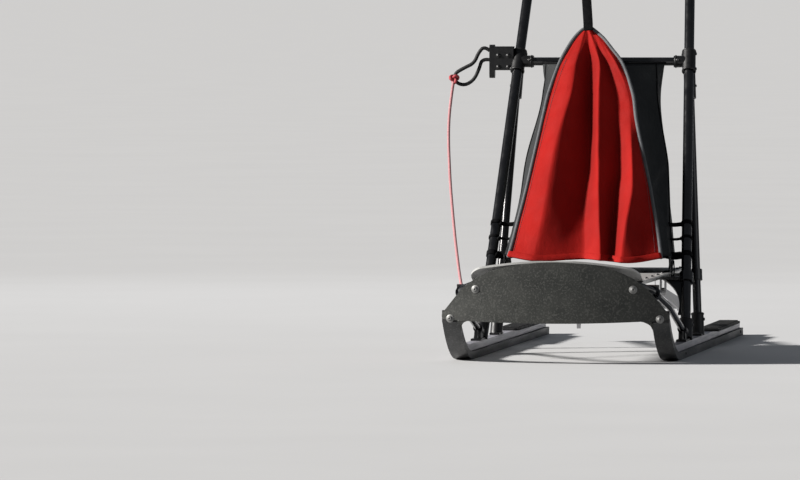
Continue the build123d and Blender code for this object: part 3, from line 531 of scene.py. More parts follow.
def rope_line(route):
    """Points along the smooth curve whose control points are the route."""
    curve = bpy.data.curves.new("route", "CURVE")
    curve.dimensions = "3D"
    curve.resolution_u = 16
    spline = curve.splines.new("NURBS")
    spline.points.add(len(route) - 1)
    for point, place in zip(spline.points, route):
        point.co = (*place, 1)
    spline.order_u = 3
    spline.use_endpoint_u = True
    holder = placed("route", curve)
    mesh = bpy.data.meshes.new_from_object(holder)
    points = [v.co.copy() for v in mesh.vertices]
    bpy.data.objects.remove(holder)
    bpy.data.curves.remove(curve)
    bpy.data.meshes.remove(mesh)
    return points


def evenly(points, step):
    """The same line with its points a step apart."""
    result = [points[0]]
    for start, end in zip(points, points[1:]):
        span = (end - start).length
        count = max(1, round(span / step))
        result += [start.lerp(end, (k + 1) / count) for k in range(count)]
    return result


def braid(radius, lay=0.012, strands=8, sides=24):
    """Section of a braided rope, whose strands cross as it runs on."""

    def section(run):
        outline = []
        for k in range(sides):
            angle = 2 * pi * k / sides
            turn = 2 * pi * run / lay
            crossing = sin(strands / 2 * angle + turn) * sin(strands / 2 * angle - turn)
            reach = radius * (0.95 + 0.05 * crossing)
            outline.append((reach * cos(angle), reach * sin(angle)))
        return outline

    return section


LOOP_ROUTE = [
    (-0.302, 0.160, 0.778),
    (-0.317, 0.159, 0.790),
    (-0.332, 0.157, 0.772),
    (-0.343, 0.155, 0.745),
    (-0.371, 0.154, 0.732),
    (-0.396, 0.155, 0.717),
    (-0.393, 0.157, 0.694),
    (-0.368, 0.159, 0.686),
    (-0.344, 0.160, 0.701),
    (-0.330, 0.161, 0.731),
    (-0.323, 0.161, 0.757),
    (-0.302, 0.161, 0.754),
]
LINE_ROUTE = [
    (-0.397, 0.153, 0.700),
    (-0.401, 0.130, 0.655),
    (-0.402, 0.092, 0.602),
    (-0.397, 0.040, 0.548),
    (-0.387, -0.025, 0.492),
    (-0.375, -0.100, 0.436),
    (-0.361, -0.180, 0.384),
    (-0.346, -0.265, 0.336),
    (-0.331, -0.350, 0.291),
    (-0.315, -0.437, 0.250),
    (-0.299, -0.525, 0.211),
    (-0.281, -0.612, 0.172),
    (-0.264, -0.690, 0.1365),
]
LOOP_DIAMETER = 0.010
LINE_DIAMETER = 0.008
KNOT_SCALE = 0.0037
KNOT_DEPTH = 1.98
KNOT_TUBE = 0.0038
HITCH_TURNS = 3
HOOP_KNEE = Vector((-0.264, -0.760, 0.138))
HOOP_FOOT = Vector((-0.264, -0.385, 0.062))
HOOP_RADIUS = 0.0083


def make_knot():
    """A tight overhand knot of the line round the loop."""
    low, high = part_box("rope_knot")
    middle = (low + high) / 2
    points = []
    count = 72
    for k in range(count):
        t = 2 * pi * k / count
        x = sin(t) + 2 * sin(2 * t)
        z = cos(t) - 2 * cos(2 * t)
        points.append(middle + Vector((x, KNOT_DEPTH * sin(3 * t), z)) * KNOT_SCALE)
    tube = round_section(KNOT_TUBE, 14)
    knot = add_swept("line_knot", points, tube, "rope_red", look="knot_red", closed=True)
    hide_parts("rope_knot")
    return knot


def make_hitch():
    """Turns of the line round the hoop's right leg."""
    low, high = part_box("snub_hitch")
    middle = (low + high) / 2
    along = (HOOP_FOOT - HOOP_KNEE).normalized()
    side = along.orthogonal().normalized()
    up = along.cross(side)
    radius = HOOP_RADIUS + LINE_DIAMETER / 2
    pitch = LINE_DIAMETER * 0.95
    count = 28 * HITCH_TURNS
    points = []
    for k in range(count + 1):
        angle = 2 * pi * HITCH_TURNS * k / count
        shift = (k / count - 0.5) * pitch * (HITCH_TURNS - 1)
        points.append(middle + along * shift + (side * cos(angle) + up * sin(angle)) * radius)
    hitch = add_swept("line_hitch", points, braid(LINE_DIAMETER / 2), "rope_red")
    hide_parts("snub_hitch")
    return hitch


def make_ropes():
    knot = make_knot()
    hitch = make_hitch()
    loop_points = evenly(rope_line(LOOP_ROUTE), 0.0015)
    loop = add_swept("cleat_loop", loop_points, braid(LOOP_DIAMETER / 2, 0.015), "rope_black")
    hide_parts("rope_loop")
    line_points = evenly(rope_line(LINE_ROUTE), 0.002)
    line = add_swept("snub_rope", line_points, braid(LINE_DIAMETER / 2), "rope_red")
    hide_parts("snub_line")


# Bag

COVER_LOW, COVER_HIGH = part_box("bag_cover")
COVER_DEPTH = 0.024
COVER_SLOPE = (COVER_HIGH.y - COVER_DEPTH - COVER_LOW.y) / (COVER_HIGH.z - COVER_LOW.z)
COVER_BASE = 0.015
COVER_TIP_X = -0.038
COVER_ROWS = 120
COVER_COLUMNS = 14
CLOTH_THICK = 0.0022
PIPING_RADIUS = 0.0048
HEM_WIDTH = 0.017
HEM_THICK = 0.0026
BAG_BACK_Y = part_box("bag_body")[1].y
BAG_TOP_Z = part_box("bag_body")[1].z
BAG_ROWS = 64

# Across the cover: height, then left edge, ridge, valley, ridge, valley, ridge, right edge
COVER_FOLDS = [
    (0.238, -0.199, -0.130, -0.004, 0.043, 0.062, 0.096, 0.195),
    (0.283, -0.191, -0.124, -0.008, 0.039, 0.063, 0.098, 0.187),
    (0.329, -0.184, -0.118, -0.013, 0.033, 0.063, 0.101, 0.177),
    (0.374, -0.176, -0.113, -0.018, 0.028, 0.063, 0.106, 0.166),
    (0.420, -0.168, -0.109, -0.017, 0.023, 0.062, 0.111, 0.155),
    (0.467, -0.161, -0.105, -0.012, 0.019, 0.066, 0.108, 0.142),
    (0.513, -0.154, -0.100, -0.014, 0.014, 0.063, 0.103, 0.129),
    (0.559, -0.147, -0.093, -0.015, 0.011, 0.058, 0.096, 0.116),
    (0.606, -0.140, -0.083, -0.019, 0.007, 0.050, 0.089, 0.104),
    (0.668, -0.130, -0.069, -0.024, 0.003, 0.040, 0.079, 0.091),
    (0.746, -0.108, -0.063, -0.029, -0.001, 0.016, 0.043, 0.058),
    (0.785, -0.090, -0.055, -0.033, -0.015, -0.006, 0.014, 0.026),
    (0.812, -0.074, -0.051, -0.037, -0.026, -0.020, -0.008, 0.002),
    (0.831, -0.057, -0.047, -0.041, -0.036, -0.032, -0.027, -0.021),
    (0.838, -0.046, -0.043, -0.041, -0.039, -0.037, -0.034, -0.031),
]
# Height, then how far each of those stands in front of the cover's base
COVER_RELIEF = [
    (0.238, -0.008, 0.014, -0.025, 0.012, -0.018, 0.014, -0.042),
    (0.329, -0.010, 0.020, -0.034, 0.016, -0.026, 0.018, -0.035),
    (0.420, -0.011, 0.024, -0.038, 0.016, -0.030, 0.018, -0.023),
    (0.513, -0.010, 0.025, -0.037, 0.014, -0.031, 0.013, -0.014),
    (0.606, -0.009, 0.024, -0.033, 0.013, -0.026, -0.007, -0.011),
    (0.668, -0.008, 0.021, -0.027, 0.013, -0.021, -0.006, -0.009),
    (0.746, -0.006, 0.014, -0.017, 0.010, -0.008, 0.007, -0.004),
    (0.785, -0.004, 0.008, -0.006, 0.006, 0.000, 0.004, -0.003),
    (0.812, -0.003, 0.004, -0.002, 0.004, 0.001, 0.002, -0.002),
    (0.838, -0.001, 0.001, 0.000, 0.001, 0.000, 0.000, -0.001),
]
# Place across the hem, then its rise over the lowest height
HEM_RISE = [(-0.200, 0.012), (-0.120, 0.001), (0.000, 0.006), (0.120, -0.003), (0.200, 0.009)]
# Height, then half width of the body beside the arms and at its back
BODY_SIDES = [
    (0.238, 0.221, 0.196),
    (0.300, 0.214, 0.192),
    (0.400, 0.204, 0.186),
    (0.500, 0.194, 0.178),
    (0.644, 0.160, 0.156),
    (0.748, 0.152, 0.166),
]


def cover_front(z):
    return COVER_LOW.y + COVER_SLOPE * (z - COVER_LOW.z)


def cover_point(share, z):
    """Point of the cover's face, from its left edge at 0 to its right edge at 1."""
    places = between(COVER_FOLDS, z)
    reliefs = between(COVER_RELIEF, z)
    scaled = share * (len(places) - 1)
    index = min(int(scaled), len(places) - 2)
    t = scaled - index
    x = places[index] + (places[index + 1] - places[index]) * t
    # The folds are rounded, except the last, which runs down flat to the right edge
    soft = 0.2 if index == len(places) - 2 else 0.55
    eased = (1 - soft) * t + soft * smooth_step(t)
    relief = reliefs[index] + (reliefs[index + 1] - reliefs[index]) * eased
    # Wrinkles fan out from the tip, with finer ones between them
    spread = (places[-1] - places[0]) / 0.4
    fan = (x - COVER_TIP_X) / max(COVER_HIGH.z + 0.03 - z, 0.03)
    relief += 0.0045 * spread * noise.noise(Vector((fan * 11, z * 4, 1.7)))
    relief += 0.0014 * spread * noise.noise(Vector((x * 40, z * 18, 4.2)))
    low_share = (z - COVER_LOW.z) / (COVER_HIGH.z - COVER_LOW.z)
    rise = between(HEM_RISE, x)[0] * max(0.0, 1 - 4 * low_share) ** 2
    return Vector((x, cover_front(z) + COVER_BASE - relief, z + rise))


def make_cover():
    """Front panel whose folds fan out from its tip, with a grey piping round its edge."""
    columns = COVER_COLUMNS * 6 + 1
    tall = COVER_HIGH.z - COVER_LOW.z
    rows = [COVER_LOW.z + tall * row / COVER_ROWS for row in range(COVER_ROWS + 1)]
    verts, uvs = [], []
    for z in rows:
        for column in range(columns):
            point = cover_point(column / (columns - 1), z)
            verts.append(point)
            uvs.append((point.x, z * sqrt(1 + COVER_SLOPE**2)))
    faces = grid_faces(len(rows), columns)
    cover = add_piece("bag_front", verts, faces, "bag_red", uvs, sheet=True)
    shell = cover.modifiers.new("thickness", "SOLIDIFY")
    shell.thickness = CLOTH_THICK
    shell.offset = -1
    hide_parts("bag_cover")

    left = [verts[row * columns] for row in range(len(rows))]
    right = [verts[row * columns + columns - 1] for row in range(len(rows))]
    top = verts[(len(rows) - 1) * columns :][COVER_COLUMNS : -COVER_COLUMNS : COVER_COLUMNS]
    edge = left + top + right[::-1]
    tube = round_section(PIPING_RADIUS)
    add_swept("bag_piping", edge, tube, "bag_grey", look="bag_piping", across=(0, 1, 0))

    lowest = verts[:columns]
    hem = [p + Vector((0, -0.0006, 0.008)) for p in lowest]
    band = flat_section(HEM_WIDTH, HEM_THICK)
    add_swept("bag_hem", hem, band, "bag_red", across=(0, COVER_SLOPE, 1))

    # Two seams along the hem, and one beside the piping on each side
    threads = Batch()
    for rise in (0.003, 0.0135):
        line = [p + Vector((0, COVER_SLOPE * rise - 0.0029, rise)) for p in lowest]
        stitch_line(threads, evenly(line, 0.002))
    seam_from_edge = 0.009
    for side in (0, 1):
        line = []
        for z in rows[4:-16]:
            inset = seam_from_edge / (cover_point(1, z).x - cover_point(0, z).x)
            line.append(cover_point(abs(side - inset), z) + Vector((0, -0.0006, 0.0004)))
        stitch_line(threads, evenly(line, 0.002))
    threads.piece("bag_stitches", "bag_grey", look="bag_piping")


def stitch_line(batch, points, step=2):
    """Short raised threads along a line of close points."""
    section = [(0.0006, 0), (0, 0.0005), (-0.0006, 0), (0, -0.0005)]
    for start in range(0, len(points) - step, step + 1):
        run = points[start : start + step + 1]
        if (run[-1] - run[0]).length > 0.0005:
            batch.add(*swept(run, section))


def body_ring(z):
    """Outline of the bag's wall at a height, from the cover's right edge round to its left."""
    side, back = between(BODY_SIDES, z)
    side_y = min(on_line(ARM_FOOT, ARM_ALONG, z).y, BAG_BACK_Y - 0.024)
    right, left = cover_point(1, z), cover_point(0, z)
    corners = [
        right,
        Vector((side, side_y, right.z)),
        Vector((back, BAG_BACK_Y, z)),
        Vector((-back, BAG_BACK_Y, z)),
        Vector((-side, side_y, left.z)),
        left,
    ]
    # The walls sag inward between the corners, most at half height
    share = (z - COVER_LOW.z) / (BAG_TOP_Z - COVER_LOW.z)
    sag = 0.012 * sin(pi * min(max(share, 0), 1))
    points = []
    for index, (start, end) in enumerate(zip(corners, corners[1:])):
        along = end - start
        inward = Vector((-along.y, along.x, 0)).normalized()
        count = 26 if index == 2 else 16
        for k in range(count):
            t = k / count
            points.append(start.lerp(end, t) + inward * sag * 4 * t * (1 - t))
    points.append(corners[-1])
    # The corners are rounded by drawing each point toward its neighbours
    for _ in range(3):
        eased = [(a + b * 2 + c) / 4 for a, b, c in zip(points, points[1:], points[2:])]
        points = [points[0]] + eased + [points[-1]]
    return points


def body_point(point, z, place, count):
    """Adds the walls' folds, which run down and forward from the crossbar's ends."""
    share = place / count
    # One raised fold slants over each front panel, and one stands on its lower part
    front = min(min(share, 1 - share) * count / 16, 1.0)
    ridge = 0.0065 * exp(-(((z - 0.425 - 0.075 * front) / 0.017) ** 2)) * sin(pi * front)
    ridge += 0.0060 * exp(-(((front - 0.62) / 0.17) ** 2)) * smooth_step((0.37 - z) / 0.08)
    # Broad folds, fine creases, hanging drapes and pleats that close toward the floor
    fade = sin(pi * share) ** 0.5
    fold = noise.noise(Vector((share * 9, z * 3.2 + share * 2.0, 7.3)))
    crease = noise.noise(Vector((share * 26, z * 7.0, 2.9)))
    drape = 1 - abs(noise.noise(Vector((share * 13 - z * 4, z * 1.3, 5.1)))) * 2.2
    free = smooth_step((z - COVER_LOW.z) / 0.12)
    low = max(0.0, 1 - (z - COVER_LOW.z) / 0.25)
    pleat = sin(share * 46 + z * 9) * 0.0022 * low
    depth = 0.004 + 0.005 * free + (0.0065 + 0.004 * free) * fold + 0.003 * crease + pleat
    depth -= 0.006 * free * drape
    away = Vector((point.x, point.y * 0.6, 0)).normalized()
    return point - away * (fade * depth - ridge)


def make_body():
    """Walls, floor and top of the bag behind its cover."""
    verts, uvs = [], []
    tall = BAG_TOP_Z - 0.004 - COVER_LOW.z
    heights = [COVER_LOW.z + 0.002 + tall * k / BAG_ROWS for k in range(BAG_ROWS + 1)]
    for z in heights:
        ring = body_ring(z)
        run = 0.0
        for place, point in enumerate(ring):
            if place:
                run += (point - ring[place - 1]).length
            verts.append(body_point(point, z, place, len(ring) - 1))
            uvs.append((run, z))
    wide = len(ring)
    faces = grid_faces(len(heights), wide)
    # The floor and the top sag a little, and their front follows the cover
    for row, sag in ((0, -0.004), (len(heights) - 1, -0.010)):
        rim = list(range(row * wide, row * wide + wide))
        for k in range(1, 24):
            rim.append(len(verts))
            inside = cover_point(k / 24, heights[row]) + Vector((0, 0.004, 0))
            verts.append(inside)
            uvs.append((inside.x, inside.y))
        middle = sum((verts[i] for i in rim), Vector()) / len(rim)
        first = len(verts)
        for index in rim:
            inside = middle.lerp(verts[index], 0.55) + Vector((0, 0, sag))
            verts.append(inside)
            uvs.append((inside.x, inside.y))
        verts.append(middle + Vector((0, 0, sag * 1.3)))
        uvs.append((middle.x, middle.y))
        for place, index in enumerate(rim):
            beside = (place + 1) % len(rim)
            faces.append((index, rim[beside], first + beside, first + place))
            faces.append((first + place, first + beside, len(verts) - 1))
    body = add_piece("bag_shell", verts, faces, "bag_grey", uvs)
    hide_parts("bag_body")

    # Corner seams, on the places where the ring's sides meet, then the rims
    seams = Batch()
    for place in (16, 32, 58, 74):
        line = [verts[row * wide + place] for row in range(len(heights))]
        away = [Vector((p.x, p.y * 0.6, 0)).normalized() for p in line]
        raised = [p + a * 0.0008 for p, a in zip(line, away)]
        seams.add(*swept(raised, round_section(0.0019, 8), across=(0, 0.2, 1)))
    for row in (0, len(heights) - 1):
        rim = verts[row * wide : row * wide + wide]
        seams.add(*swept(rim, round_section(0.0030, 8), across=(0, 0, 1)))
    seams.piece("bag_seams", "webbing")
    make_tabs()


TAB_FRONT_Y = -0.262
TAB_BACK_Y = -0.132
TAB_TOP_Z = 0.252
TAB_DROP = 0.040
TAB_REACH = 0.2155
TAB_THICK = 0.003
TAB_STRAPS_Y = (-0.232, -0.168)
TAB_STRAP_WIDTH = 0.016
TAB_STRAP_THICK = 0.0016
# Distance from the middle and height of the tab's strap, on its way round the bed's side bar
TAB_STRAP_TURN = [
    (0.2175, 0.236),
    (0.2185, 0.214),
    (0.2180, 0.197),
    (0.2045, 0.1955),
    (0.1915, 0.197),
    (0.1905, 0.2095),
    (0.2045, 0.2110),
    (0.2135, 0.2140),
]


def make_tabs():
    """Flap at each lower side of the bag, held down to the bed's edge."""
    fabric, straps = Batch(), Batch()
    rows, columns = 9, 19
    for side in (1, -1):
        verts, uvs = [], []
        for row in range(rows):
            drop = row / (rows - 1)
            for column in range(columns):
                t = column / (columns - 1)
                narrowed = t * (1 - 0.22 * drop) + 0.11 * drop
                y = TAB_FRONT_Y + (TAB_BACK_Y - TAB_FRONT_Y) * narrowed
                reach = TAB_REACH - 0.0025 * drop + 0.0022 * sin(t * 9 + drop * 2)
                verts.append(Vector((side * reach, y, TAB_TOP_Z - TAB_DROP * drop)))
                uvs.append((y, TAB_DROP * drop))
        verts += [v - Vector((side * TAB_THICK, 0, 0)) for v in verts]
        fabric.add(verts, slab_faces(rows, columns), uvs + uvs)
        band = flat_section(TAB_STRAP_WIDTH, TAB_STRAP_THICK)
        for y in TAB_STRAPS_Y:
            path = [Vector((side * x, y, z)) for x, z in TAB_STRAP_TURN]
            straps.add(*swept(evenly(path, 0.003), band, across=(0, 1, 0)))
    fabric.piece("bag_tabs", "bag_grey")
    straps.piece("bag_tab_straps", "webbing")


STRAP_LOW = Vector((COVER_TIP_X, 0.131, 0.838))
STRAP_TOP = Vector((-0.070, on_line(ARM_FOOT, ARM_ALONG, 1.0).y, 1.0))
STRAP_WIDTH = 0.025
STRAP_THICK = 0.0018
STRAP_WRAP = 0.0184
STRAP_PAST = 0.014
BUCKLE_FROM_GRIP = 0.098
BUCKLE_PITCH = 0.011


def make_strap():
    """Webbing from a loop round the grip to the cover's tip."""
    along = (STRAP_LOW - STRAP_TOP).normalized()
    length = (STRAP_LOW - STRAP_TOP).length
    band = flat_section(STRAP_WIDTH, STRAP_THICK)
    batch = Batch()
    loop = []
    for k in range(40):
        angle = 2 * pi * k / 40
        loop.append(STRAP_TOP + Vector((0, cos(angle), sin(angle))) * STRAP_WRAP)
    batch.add(*swept(loop, band, across=CROSSWISE, closed=True))
    # It sags a little on its way, and its end lies on the cover's piping
    run = []
    for k in range(41):
        t = k / 40
        point = STRAP_TOP + along * (STRAP_WRAP + (length - STRAP_WRAP + STRAP_PAST) * t)
        point += Vector((0, 0, -0.0025)) * sin(pi * t)
        point += Vector((0, -0.0056, 0.0028)) * smooth_step((t - 0.86) / 0.08)
        run.append(point)
    batch.add(*swept(run, band, across=CROSSWISE))
    doubled = [p + Vector((0, -0.0021, 0.0004)) for p in run[2:14]]
    upper_band = flat_section(STRAP_WIDTH * 0.98, STRAP_THICK)
    batch.add(*swept(doubled, upper_band, across=CROSSWISE))
    strap = batch.piece("tip_strap", "webbing")
    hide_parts("bag_strap")

    # The buckle is a ladder of three bars between two sides
    buckle = Batch()
    lifted = STRAP_TOP + Vector((0, -0.003, 0))
    for step in range(3):
        middle = lifted + along * (BUCKLE_FROM_GRIP + BUCKLE_PITCH * step)
        ends = [middle - CROSSWISE * 0.0165, middle + CROSSWISE * 0.0165]
        buckle.add(*swept(evenly(ends, 0.004), round_section(0.0021, 10)))
    for side in (-1, 1):
        start = lifted + along * (BUCKLE_FROM_GRIP - 0.002) + CROSSWISE * side * 0.0155
        ends = [start, start + along * (BUCKLE_PITCH * 2 + 0.004)]
        buckle.add(*swept(evenly(ends, 0.004), round_section(0.0023, 10)))
    buckle.piece("strap_buckle", "clamp_plastic")

    threads = Batch()
    for side in (-1, 1):
        line = [p + CROSSWISE * side * 0.0095 + Vector((0, -0.0033, 0)) for p in run[2:14]]
        stitch_line(threads, evenly(line, 0.0016))
    threads.piece("strap_stitches", "bag_grey")


# Height, width and thickness of each lace
TIES = [(0.252, 0.020, 0.0030), (0.294, 0.007, 0.0030), (0.331, 0.011, 0.0022)]
LACE_INSIDE = 0.022
LACE_TO_ARM = 0.0135
LACE_WRAP = ARM_RADIUS + 0.0014
LACE_WRAP_WIDTH = 0.014
LACE_WRAP_THICK = 0.0018
LACE_KNOT = 0.0034


def make_ties():
    """Laces from the bag's sides to loops round the arms."""
    for side, name in ((1, "left"), (-1, "right")):
        laces = Batch()
        for z, width, thick in TIES:
            arm = on_line(ARM_FOOT, ARM_ALONG, z)
            inner = between(BODY_SIDES, z)[0] - LACE_INSIDE
            outer = arm.x - LACE_TO_ARM
            path = []
            for k in range(15):
                t = k / 14
                x = inner + (outer - inner) * t
                drop = 0.003 * sin(pi * t) - 0.002 * (1 - t)
                path.append(Vector((side * x, arm.y - 0.002, z - drop)))
            laces.add(*swept(path, flat_section(width, thick), across=(0, 0, 1)))
            along = ARM_ALONG if side > 0 else mirrored(ARM_ALONG)
            centre = arm if side > 0 else mirrored(arm)
            wrap = flat_section(min(width, LACE_WRAP_WIDTH), LACE_WRAP_THICK)
            loop = ring_points(centre, along, LACE_WRAP, 36)
            laces.add(*swept(loop, wrap, across=along, closed=True))
            knot = centre + Vector((-side * 0.012, -0.011, 0))
            end = Vector((side * 0.004, 0, -0.004))
            laces.add(*swept([knot + end, knot, knot - end], round_section(LACE_KNOT, 10)))
        piece = laces.piece("side_laces_" + name, "webbing")
        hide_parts("bag_ties_" + name)


# Hardware


def fastener(batch, place, axis, radius=0.004, washer=0.0):
    """Button head with a hexagon socket, on a washer where it has one."""
    base = 0.0012 if washer else 0.0
    profile = []
    if washer:
        profile += [(washer, -0.0004), (washer, 0.0008), (washer - 0.0006, base)]
    profile += [(radius, base), (radius, base + radius * 0.25), (radius * 0.9, base + radius * 0.5)]
    profile += [(radius * 0.6, base + radius * 0.68), (radius * 0.42, base + radius * 0.72)]
    profile += [(radius * 0.38, base + radius * 0.35)]
    batch.add(*turned(profile, place, axis))


def both(batch, place, axis, radius=0.004, washer=0.0):
    """The same fastener on the left and on the right."""
    fastener(batch, place, axis, radius, washer)
    fastener(batch, mirrored(place), mirrored(Vector(axis)), radius, washer)


def guard_face(x, z):
    """Point and direction of the guard's outer face."""
    y = GUARD_CENTRE_Y - sqrt(GUARD_RADIUS**2 - x * x)
    point = Vector((x, y, z))
    return point, Vector((x, y - GUARD_CENTRE_Y, 0)).normalized()


def on_tube(point, along, toward, radius):
    """Point on a tube's surface, on the side that faces a direction, and that side's direction."""
    toward = Vector(toward)
    out = (toward - along * toward.dot(along)).normalized()
    return point + out * radius, out


def make_hardware():
    heads = Batch()
    for x, z in ((0.199, 0.1885), (0.265, 0.1140)):
        both(heads, *guard_face(x, z), radius=0.0058, washer=0.0105)
    heads.piece("guard_bolts", "brake_steel", look="dull_steel")

    # Place on a socket's line, the line, the side it faces, the socket's and the head's radius
    outward = (1, 0, 0)
    socket_bolts = [
        (CLAMP - ARM_ALONG * 0.024, ARM_ALONG, outward, ARM_HUB, 0.0042),
        (CLAMP + ARM_ALONG * 0.024, ARM_ALONG, outward, ARM_HUB, 0.0042),
        (CLAMP + ARM_ALONG * 0.024, ARM_ALONG, (-1, 0, 0), ARM_HUB, 0.0042),
        (CLAMP - CROSSWISE * 0.029, CROSSWISE, (0, -1, 0.3), CLAMP_SOCKET, 0.0036),
        (CLAMP - UPRIGHT_ALONG * 0.066, UPRIGHT_ALONG, outward, CLAMP_SOCKET, 0.0036),
        (ARM_FOOT + ARM_ALONG * 0.036, ARM_ALONG, outward, ARM_SOCKET, 0.0045),
        (UPRIGHT_FOOT + UPRIGHT_ALONG * 0.034, UPRIGHT_ALONG, outward, UPRIGHT_SOCKET, 0.0042),
    ]
    steel = Batch()
    for place, along, toward, reach, head in socket_bolts:
        both(steel, *on_tube(place, along, toward, reach), radius=head)

    # Place, head's and washer's radius of the bolts through foot plates, bed and footboards
    plate_top = 0.0426
    board_top = 0.0437
    bed_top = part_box("side_bar_left")[1].z + 0.0043
    side_bolts = (-0.880, -0.740, -0.600, -0.460, -0.330, -0.200, -0.070, 0.060, 0.135)
    bolts = [(RUNNER_X, y, plate_top, 0.0042, 0.0075) for y in (-0.424, -0.316, -0.041, 0.031)]
    bolts += [(0.204, y, bed_top, 0.0038, 0.0075) for y in side_bolts]
    bolts += [(x, y, bed_top, 0.0038, 0.0075) for x in (0.060, 0.150) for y in (-0.925, -0.2395)]
    bolts += [(RUNNER_X, y, board_top, 0.0036, 0.0065) for y in (0.300, 0.570, 0.840)]
    for x, y, z, head, washer in bolts:
        both(steel, Vector((x, y, z)), (0, 0, 1), radius=head, washer=washer)
    for y in (-0.560, 0.955):
        both(steel, Vector((RUNNER_X + 0.022, y, 0.012)), outward, radius=0.0036)
    steel.piece("bolts", "brake_steel", look="dark_zinc")

    cleat = Batch()
    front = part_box("rope_cleat")[0].y
    for x in (-0.251, -0.277):
        for z in (0.735, 0.765):
            fastener(cleat, Vector((x, front, z)), (0, -1, 0), radius=0.0038, washer=0.0065)
    cleat.piece("cleat_bolts", "brake_steel", look="clamp_plastic")


# Half width, half height and middle height of a rail's two plugs
RAIL_PLUGS = [(0.0115, 0.0085, 0.0275), (0.0155, 0.0022, 0.0145)]


def make_end_caps():
    """Plugs in the rails' open ends."""
    caps = Batch()
    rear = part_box("runner_rail_left")[1].y
    for side in (1, -1):
        for half, tall, z in RAIL_PLUGS:
            outline = [(-half, -tall), (half, -tall), (half, tall), (-half, tall)]
            path = [Vector((side * RUNNER_X, rear + past, z)) for past in (-0.001, 0.0012)]
            caps.add(*swept(path, outline, across=CROSSWISE))
    piece = caps.piece("rail_plugs", "clamp_plastic")
    soften = piece.modifiers.new("edges", "BEVEL")
    soften.width = 0.0006
    soften.segments = 2


HINGE_Y = 0.0288
HINGE_Z = 0.150
SPRING_X = 0.1535
SPRING_RADIUS = 0.0098
SPRING_PITCH = 0.0021
SPRING_TURNS = 4.25
SPRING_WIRE = 0.0009


def make_springs():
    """Coil on each brake hinge that lifts the brake clear of the ground."""
    coils = Batch()
    count = int(SPRING_TURNS * 24)
    for side in (1, -1):
        points = []
        for k in range(count + 1):
            angle = 2 * pi * SPRING_TURNS * k / count + pi / 2
            x = SPRING_X - SPRING_PITCH * SPRING_TURNS * (0.5 - k / count)
            y = HINGE_Y + SPRING_RADIUS * cos(angle)
            z = HINGE_Z + SPRING_RADIUS * sin(angle)
            points.append(Vector((side * x, y, z)))
        # One leg rises to the bed, the other lies on the brake's arm
        rise = Vector((points[0].x, HINGE_Y - 0.002, 0.189))
        points = [rise, points[0] + Vector((0, -0.001, 0.006))] + points
        points.append(Vector((points[-1].x, HINGE_Y + 0.05, 0.1425)))
        coils.add(*swept(evenly(points, 0.003), round_section(SPRING_WIRE, 8)))
    coils.piece("hinge_springs", "brake_steel")


def make_lips():
    """Raised rims at the mouths of the moulded sockets."""
    rims = Batch()
    mouths = [
        (CLAMP + ARM_ALONG * 0.0305, ARM_ALONG, ARM_HUB),
        (CLAMP - ARM_ALONG * 0.0305, ARM_ALONG, ARM_HUB),
        (CLAMP - CROSSWISE * 0.0345, CROSSWISE, CLAMP_SOCKET),
        (ARM_FOOT + ARM_ALONG * 0.0485, ARM_ALONG, ARM_SOCKET),
        (UPRIGHT_FOOT + UPRIGHT_ALONG * 0.0485, UPRIGHT_ALONG, UPRIGHT_SOCKET),
    ]
    # Step out from the socket's face, and place along it
    lip = [(-0.0003, -0.0026), (0.0012, -0.0018), (0.0015, 0)]
    lip += [(0.0012, 0.0018), (-0.0003, 0.0026), (-0.0040, 0.0026)]
    for centre, along, radius in mouths:
        profile = [(radius + step, height) for step, height in lip]
        for place, axis in ((centre, along), (mirrored(centre), mirrored(along))):
            verts, faces = turned(profile, place, axis, 32)
            rims.add(verts, faces[:-1])
    rims.piece("socket_rims", "clamp_plastic")


# Rounding and top of the web, its sides, and the arc of the runner's sole behind it
WEB_ROUND = 0.028
WEB_TOP = 0.1083
WEB_INNER_X = RUNNER_X - 0.022
WEB_OUTER_X = RUNNER_X - 0.0195
SOLE_RADIUS = 0.470
SOLE_START_Y = -0.6858


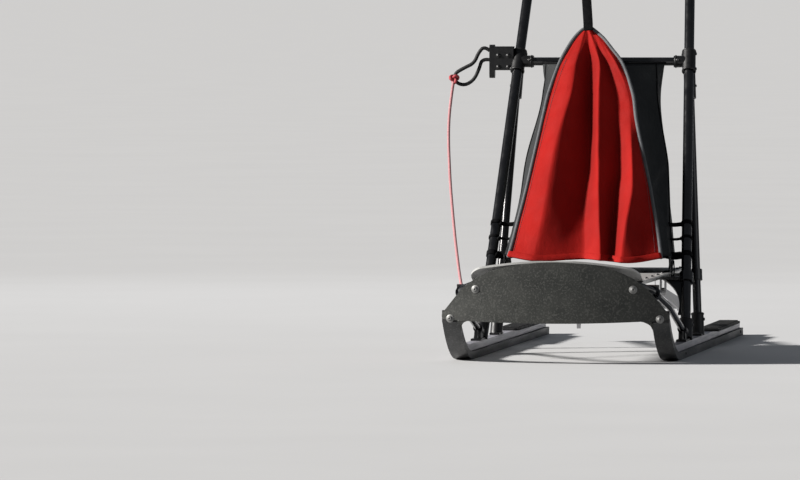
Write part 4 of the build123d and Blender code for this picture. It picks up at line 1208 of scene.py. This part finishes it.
def make_webs():
    """Web that rounds the corner between the guard's lower edge and each runner."""
    webs = Batch()
    rows, columns = 15, 9
    for side in (1, -1):
        verts = []
        for row in range(rows):
            angle = pi / 2 * (1 - max(row - 1, 0) / (rows - 2))
            z = WEB_TOP + WEB_ROUND * (sin(angle) - 1) + (0.003 if row == 0 else 0)
            inner = WEB_INNER_X + WEB_ROUND * (cos(angle) - 1)
            sole_y = SOLE_START_Y - sqrt(SOLE_RADIUS**2 - (SOLE_RADIUS - z) ** 2)
            back = smooth_step((WEB_TOP - z) / 0.012)
            for column in range(columns):
                x = inner + (WEB_OUTER_X - inner) * column / (columns - 1)
                face_y = guard_face(x, z)[0].y
                verts.append(Vector((side * x, face_y + (sole_y - face_y) * back + 0.0004, z)))
        verts += [v + Vector((0, 0.0035, 0.0015)) for v in verts]
        webs.add(verts, slab_faces(rows, columns))
    webs.piece("guard_webs", "guard_plastic")


# Studio


def make_studio():
    size = 1500
    corners = [(-size, -size, 0), (size, -size, 0), (size, size, 0), (-size, size, 0)]
    mesh = bpy.data.meshes.new("floor")
    mesh.from_pydata(corners, [], [(0, 1, 2, 3)])
    floor = placed("floor", mesh)
    paint = Finish("floor", roughness=0.9, specular=0.2)
    paint.colour((0.505, 0.508, 0.514), (0.520, 0.523, 0.529), 1.5)
    mesh.materials.append(paint.material)

    bpy.context.scene.view_settings.view_transform = "Standard"
    world = bpy.data.worlds.new("studio")
    world.use_nodes = True
    sky = {"Color": (0.78, 0.85, 0.96, 1), "Strength": 0.13}
    fill(world.node_tree.nodes["Background"], sky)
    bpy.context.scene.world = world

    key = bpy.data.lights.new("key", "SUN")
    key.energy = 8.8
    key.angle = radians(6)
    key.color = (1.0, 0.97, 0.93)
    ray = Vector((0.88, 0.25, -0.41))
    placed("key", key).rotation_euler = ray.to_track_quat("-Z", "Y").to_euler()

    # Name, place, aim, width, height, radiance, colour
    lamps = [
        ("card", (3.0, -1.2, 1.5), (0.2, 0.0, 1.3), 2.6, 2.4, 0.42, (0.96, 0.98, 1.0)),
        ("back", (-2.0, 4.5, 3.5), (0.0, 0.0, 0.5), 3.0, 3.0, 1.0, (0.95, 0.97, 1.0)),
    ]
    for name, place, aim, wide, tall, radiance, colour in lamps:
        data = bpy.data.lights.new(name, "AREA")
        data.shape = "RECTANGLE"
        data.size = wide
        data.size_y = tall
        data.energy = radiance * pi * wide * tall
        data.color = colour
        ray = Vector(aim) - Vector(place)
        lamp = placed(name, data)
        lamp.location = place
        lamp.rotation_euler = ray.to_track_quat("-Z", "Y").to_euler()


make_camera()
make_materials()
dress_nodes()
make_ropes()
make_cover()
make_body()
make_strap()
make_ties()
make_hardware()
make_end_caps()
make_springs()
make_lips()
make_webs()
make_studio()
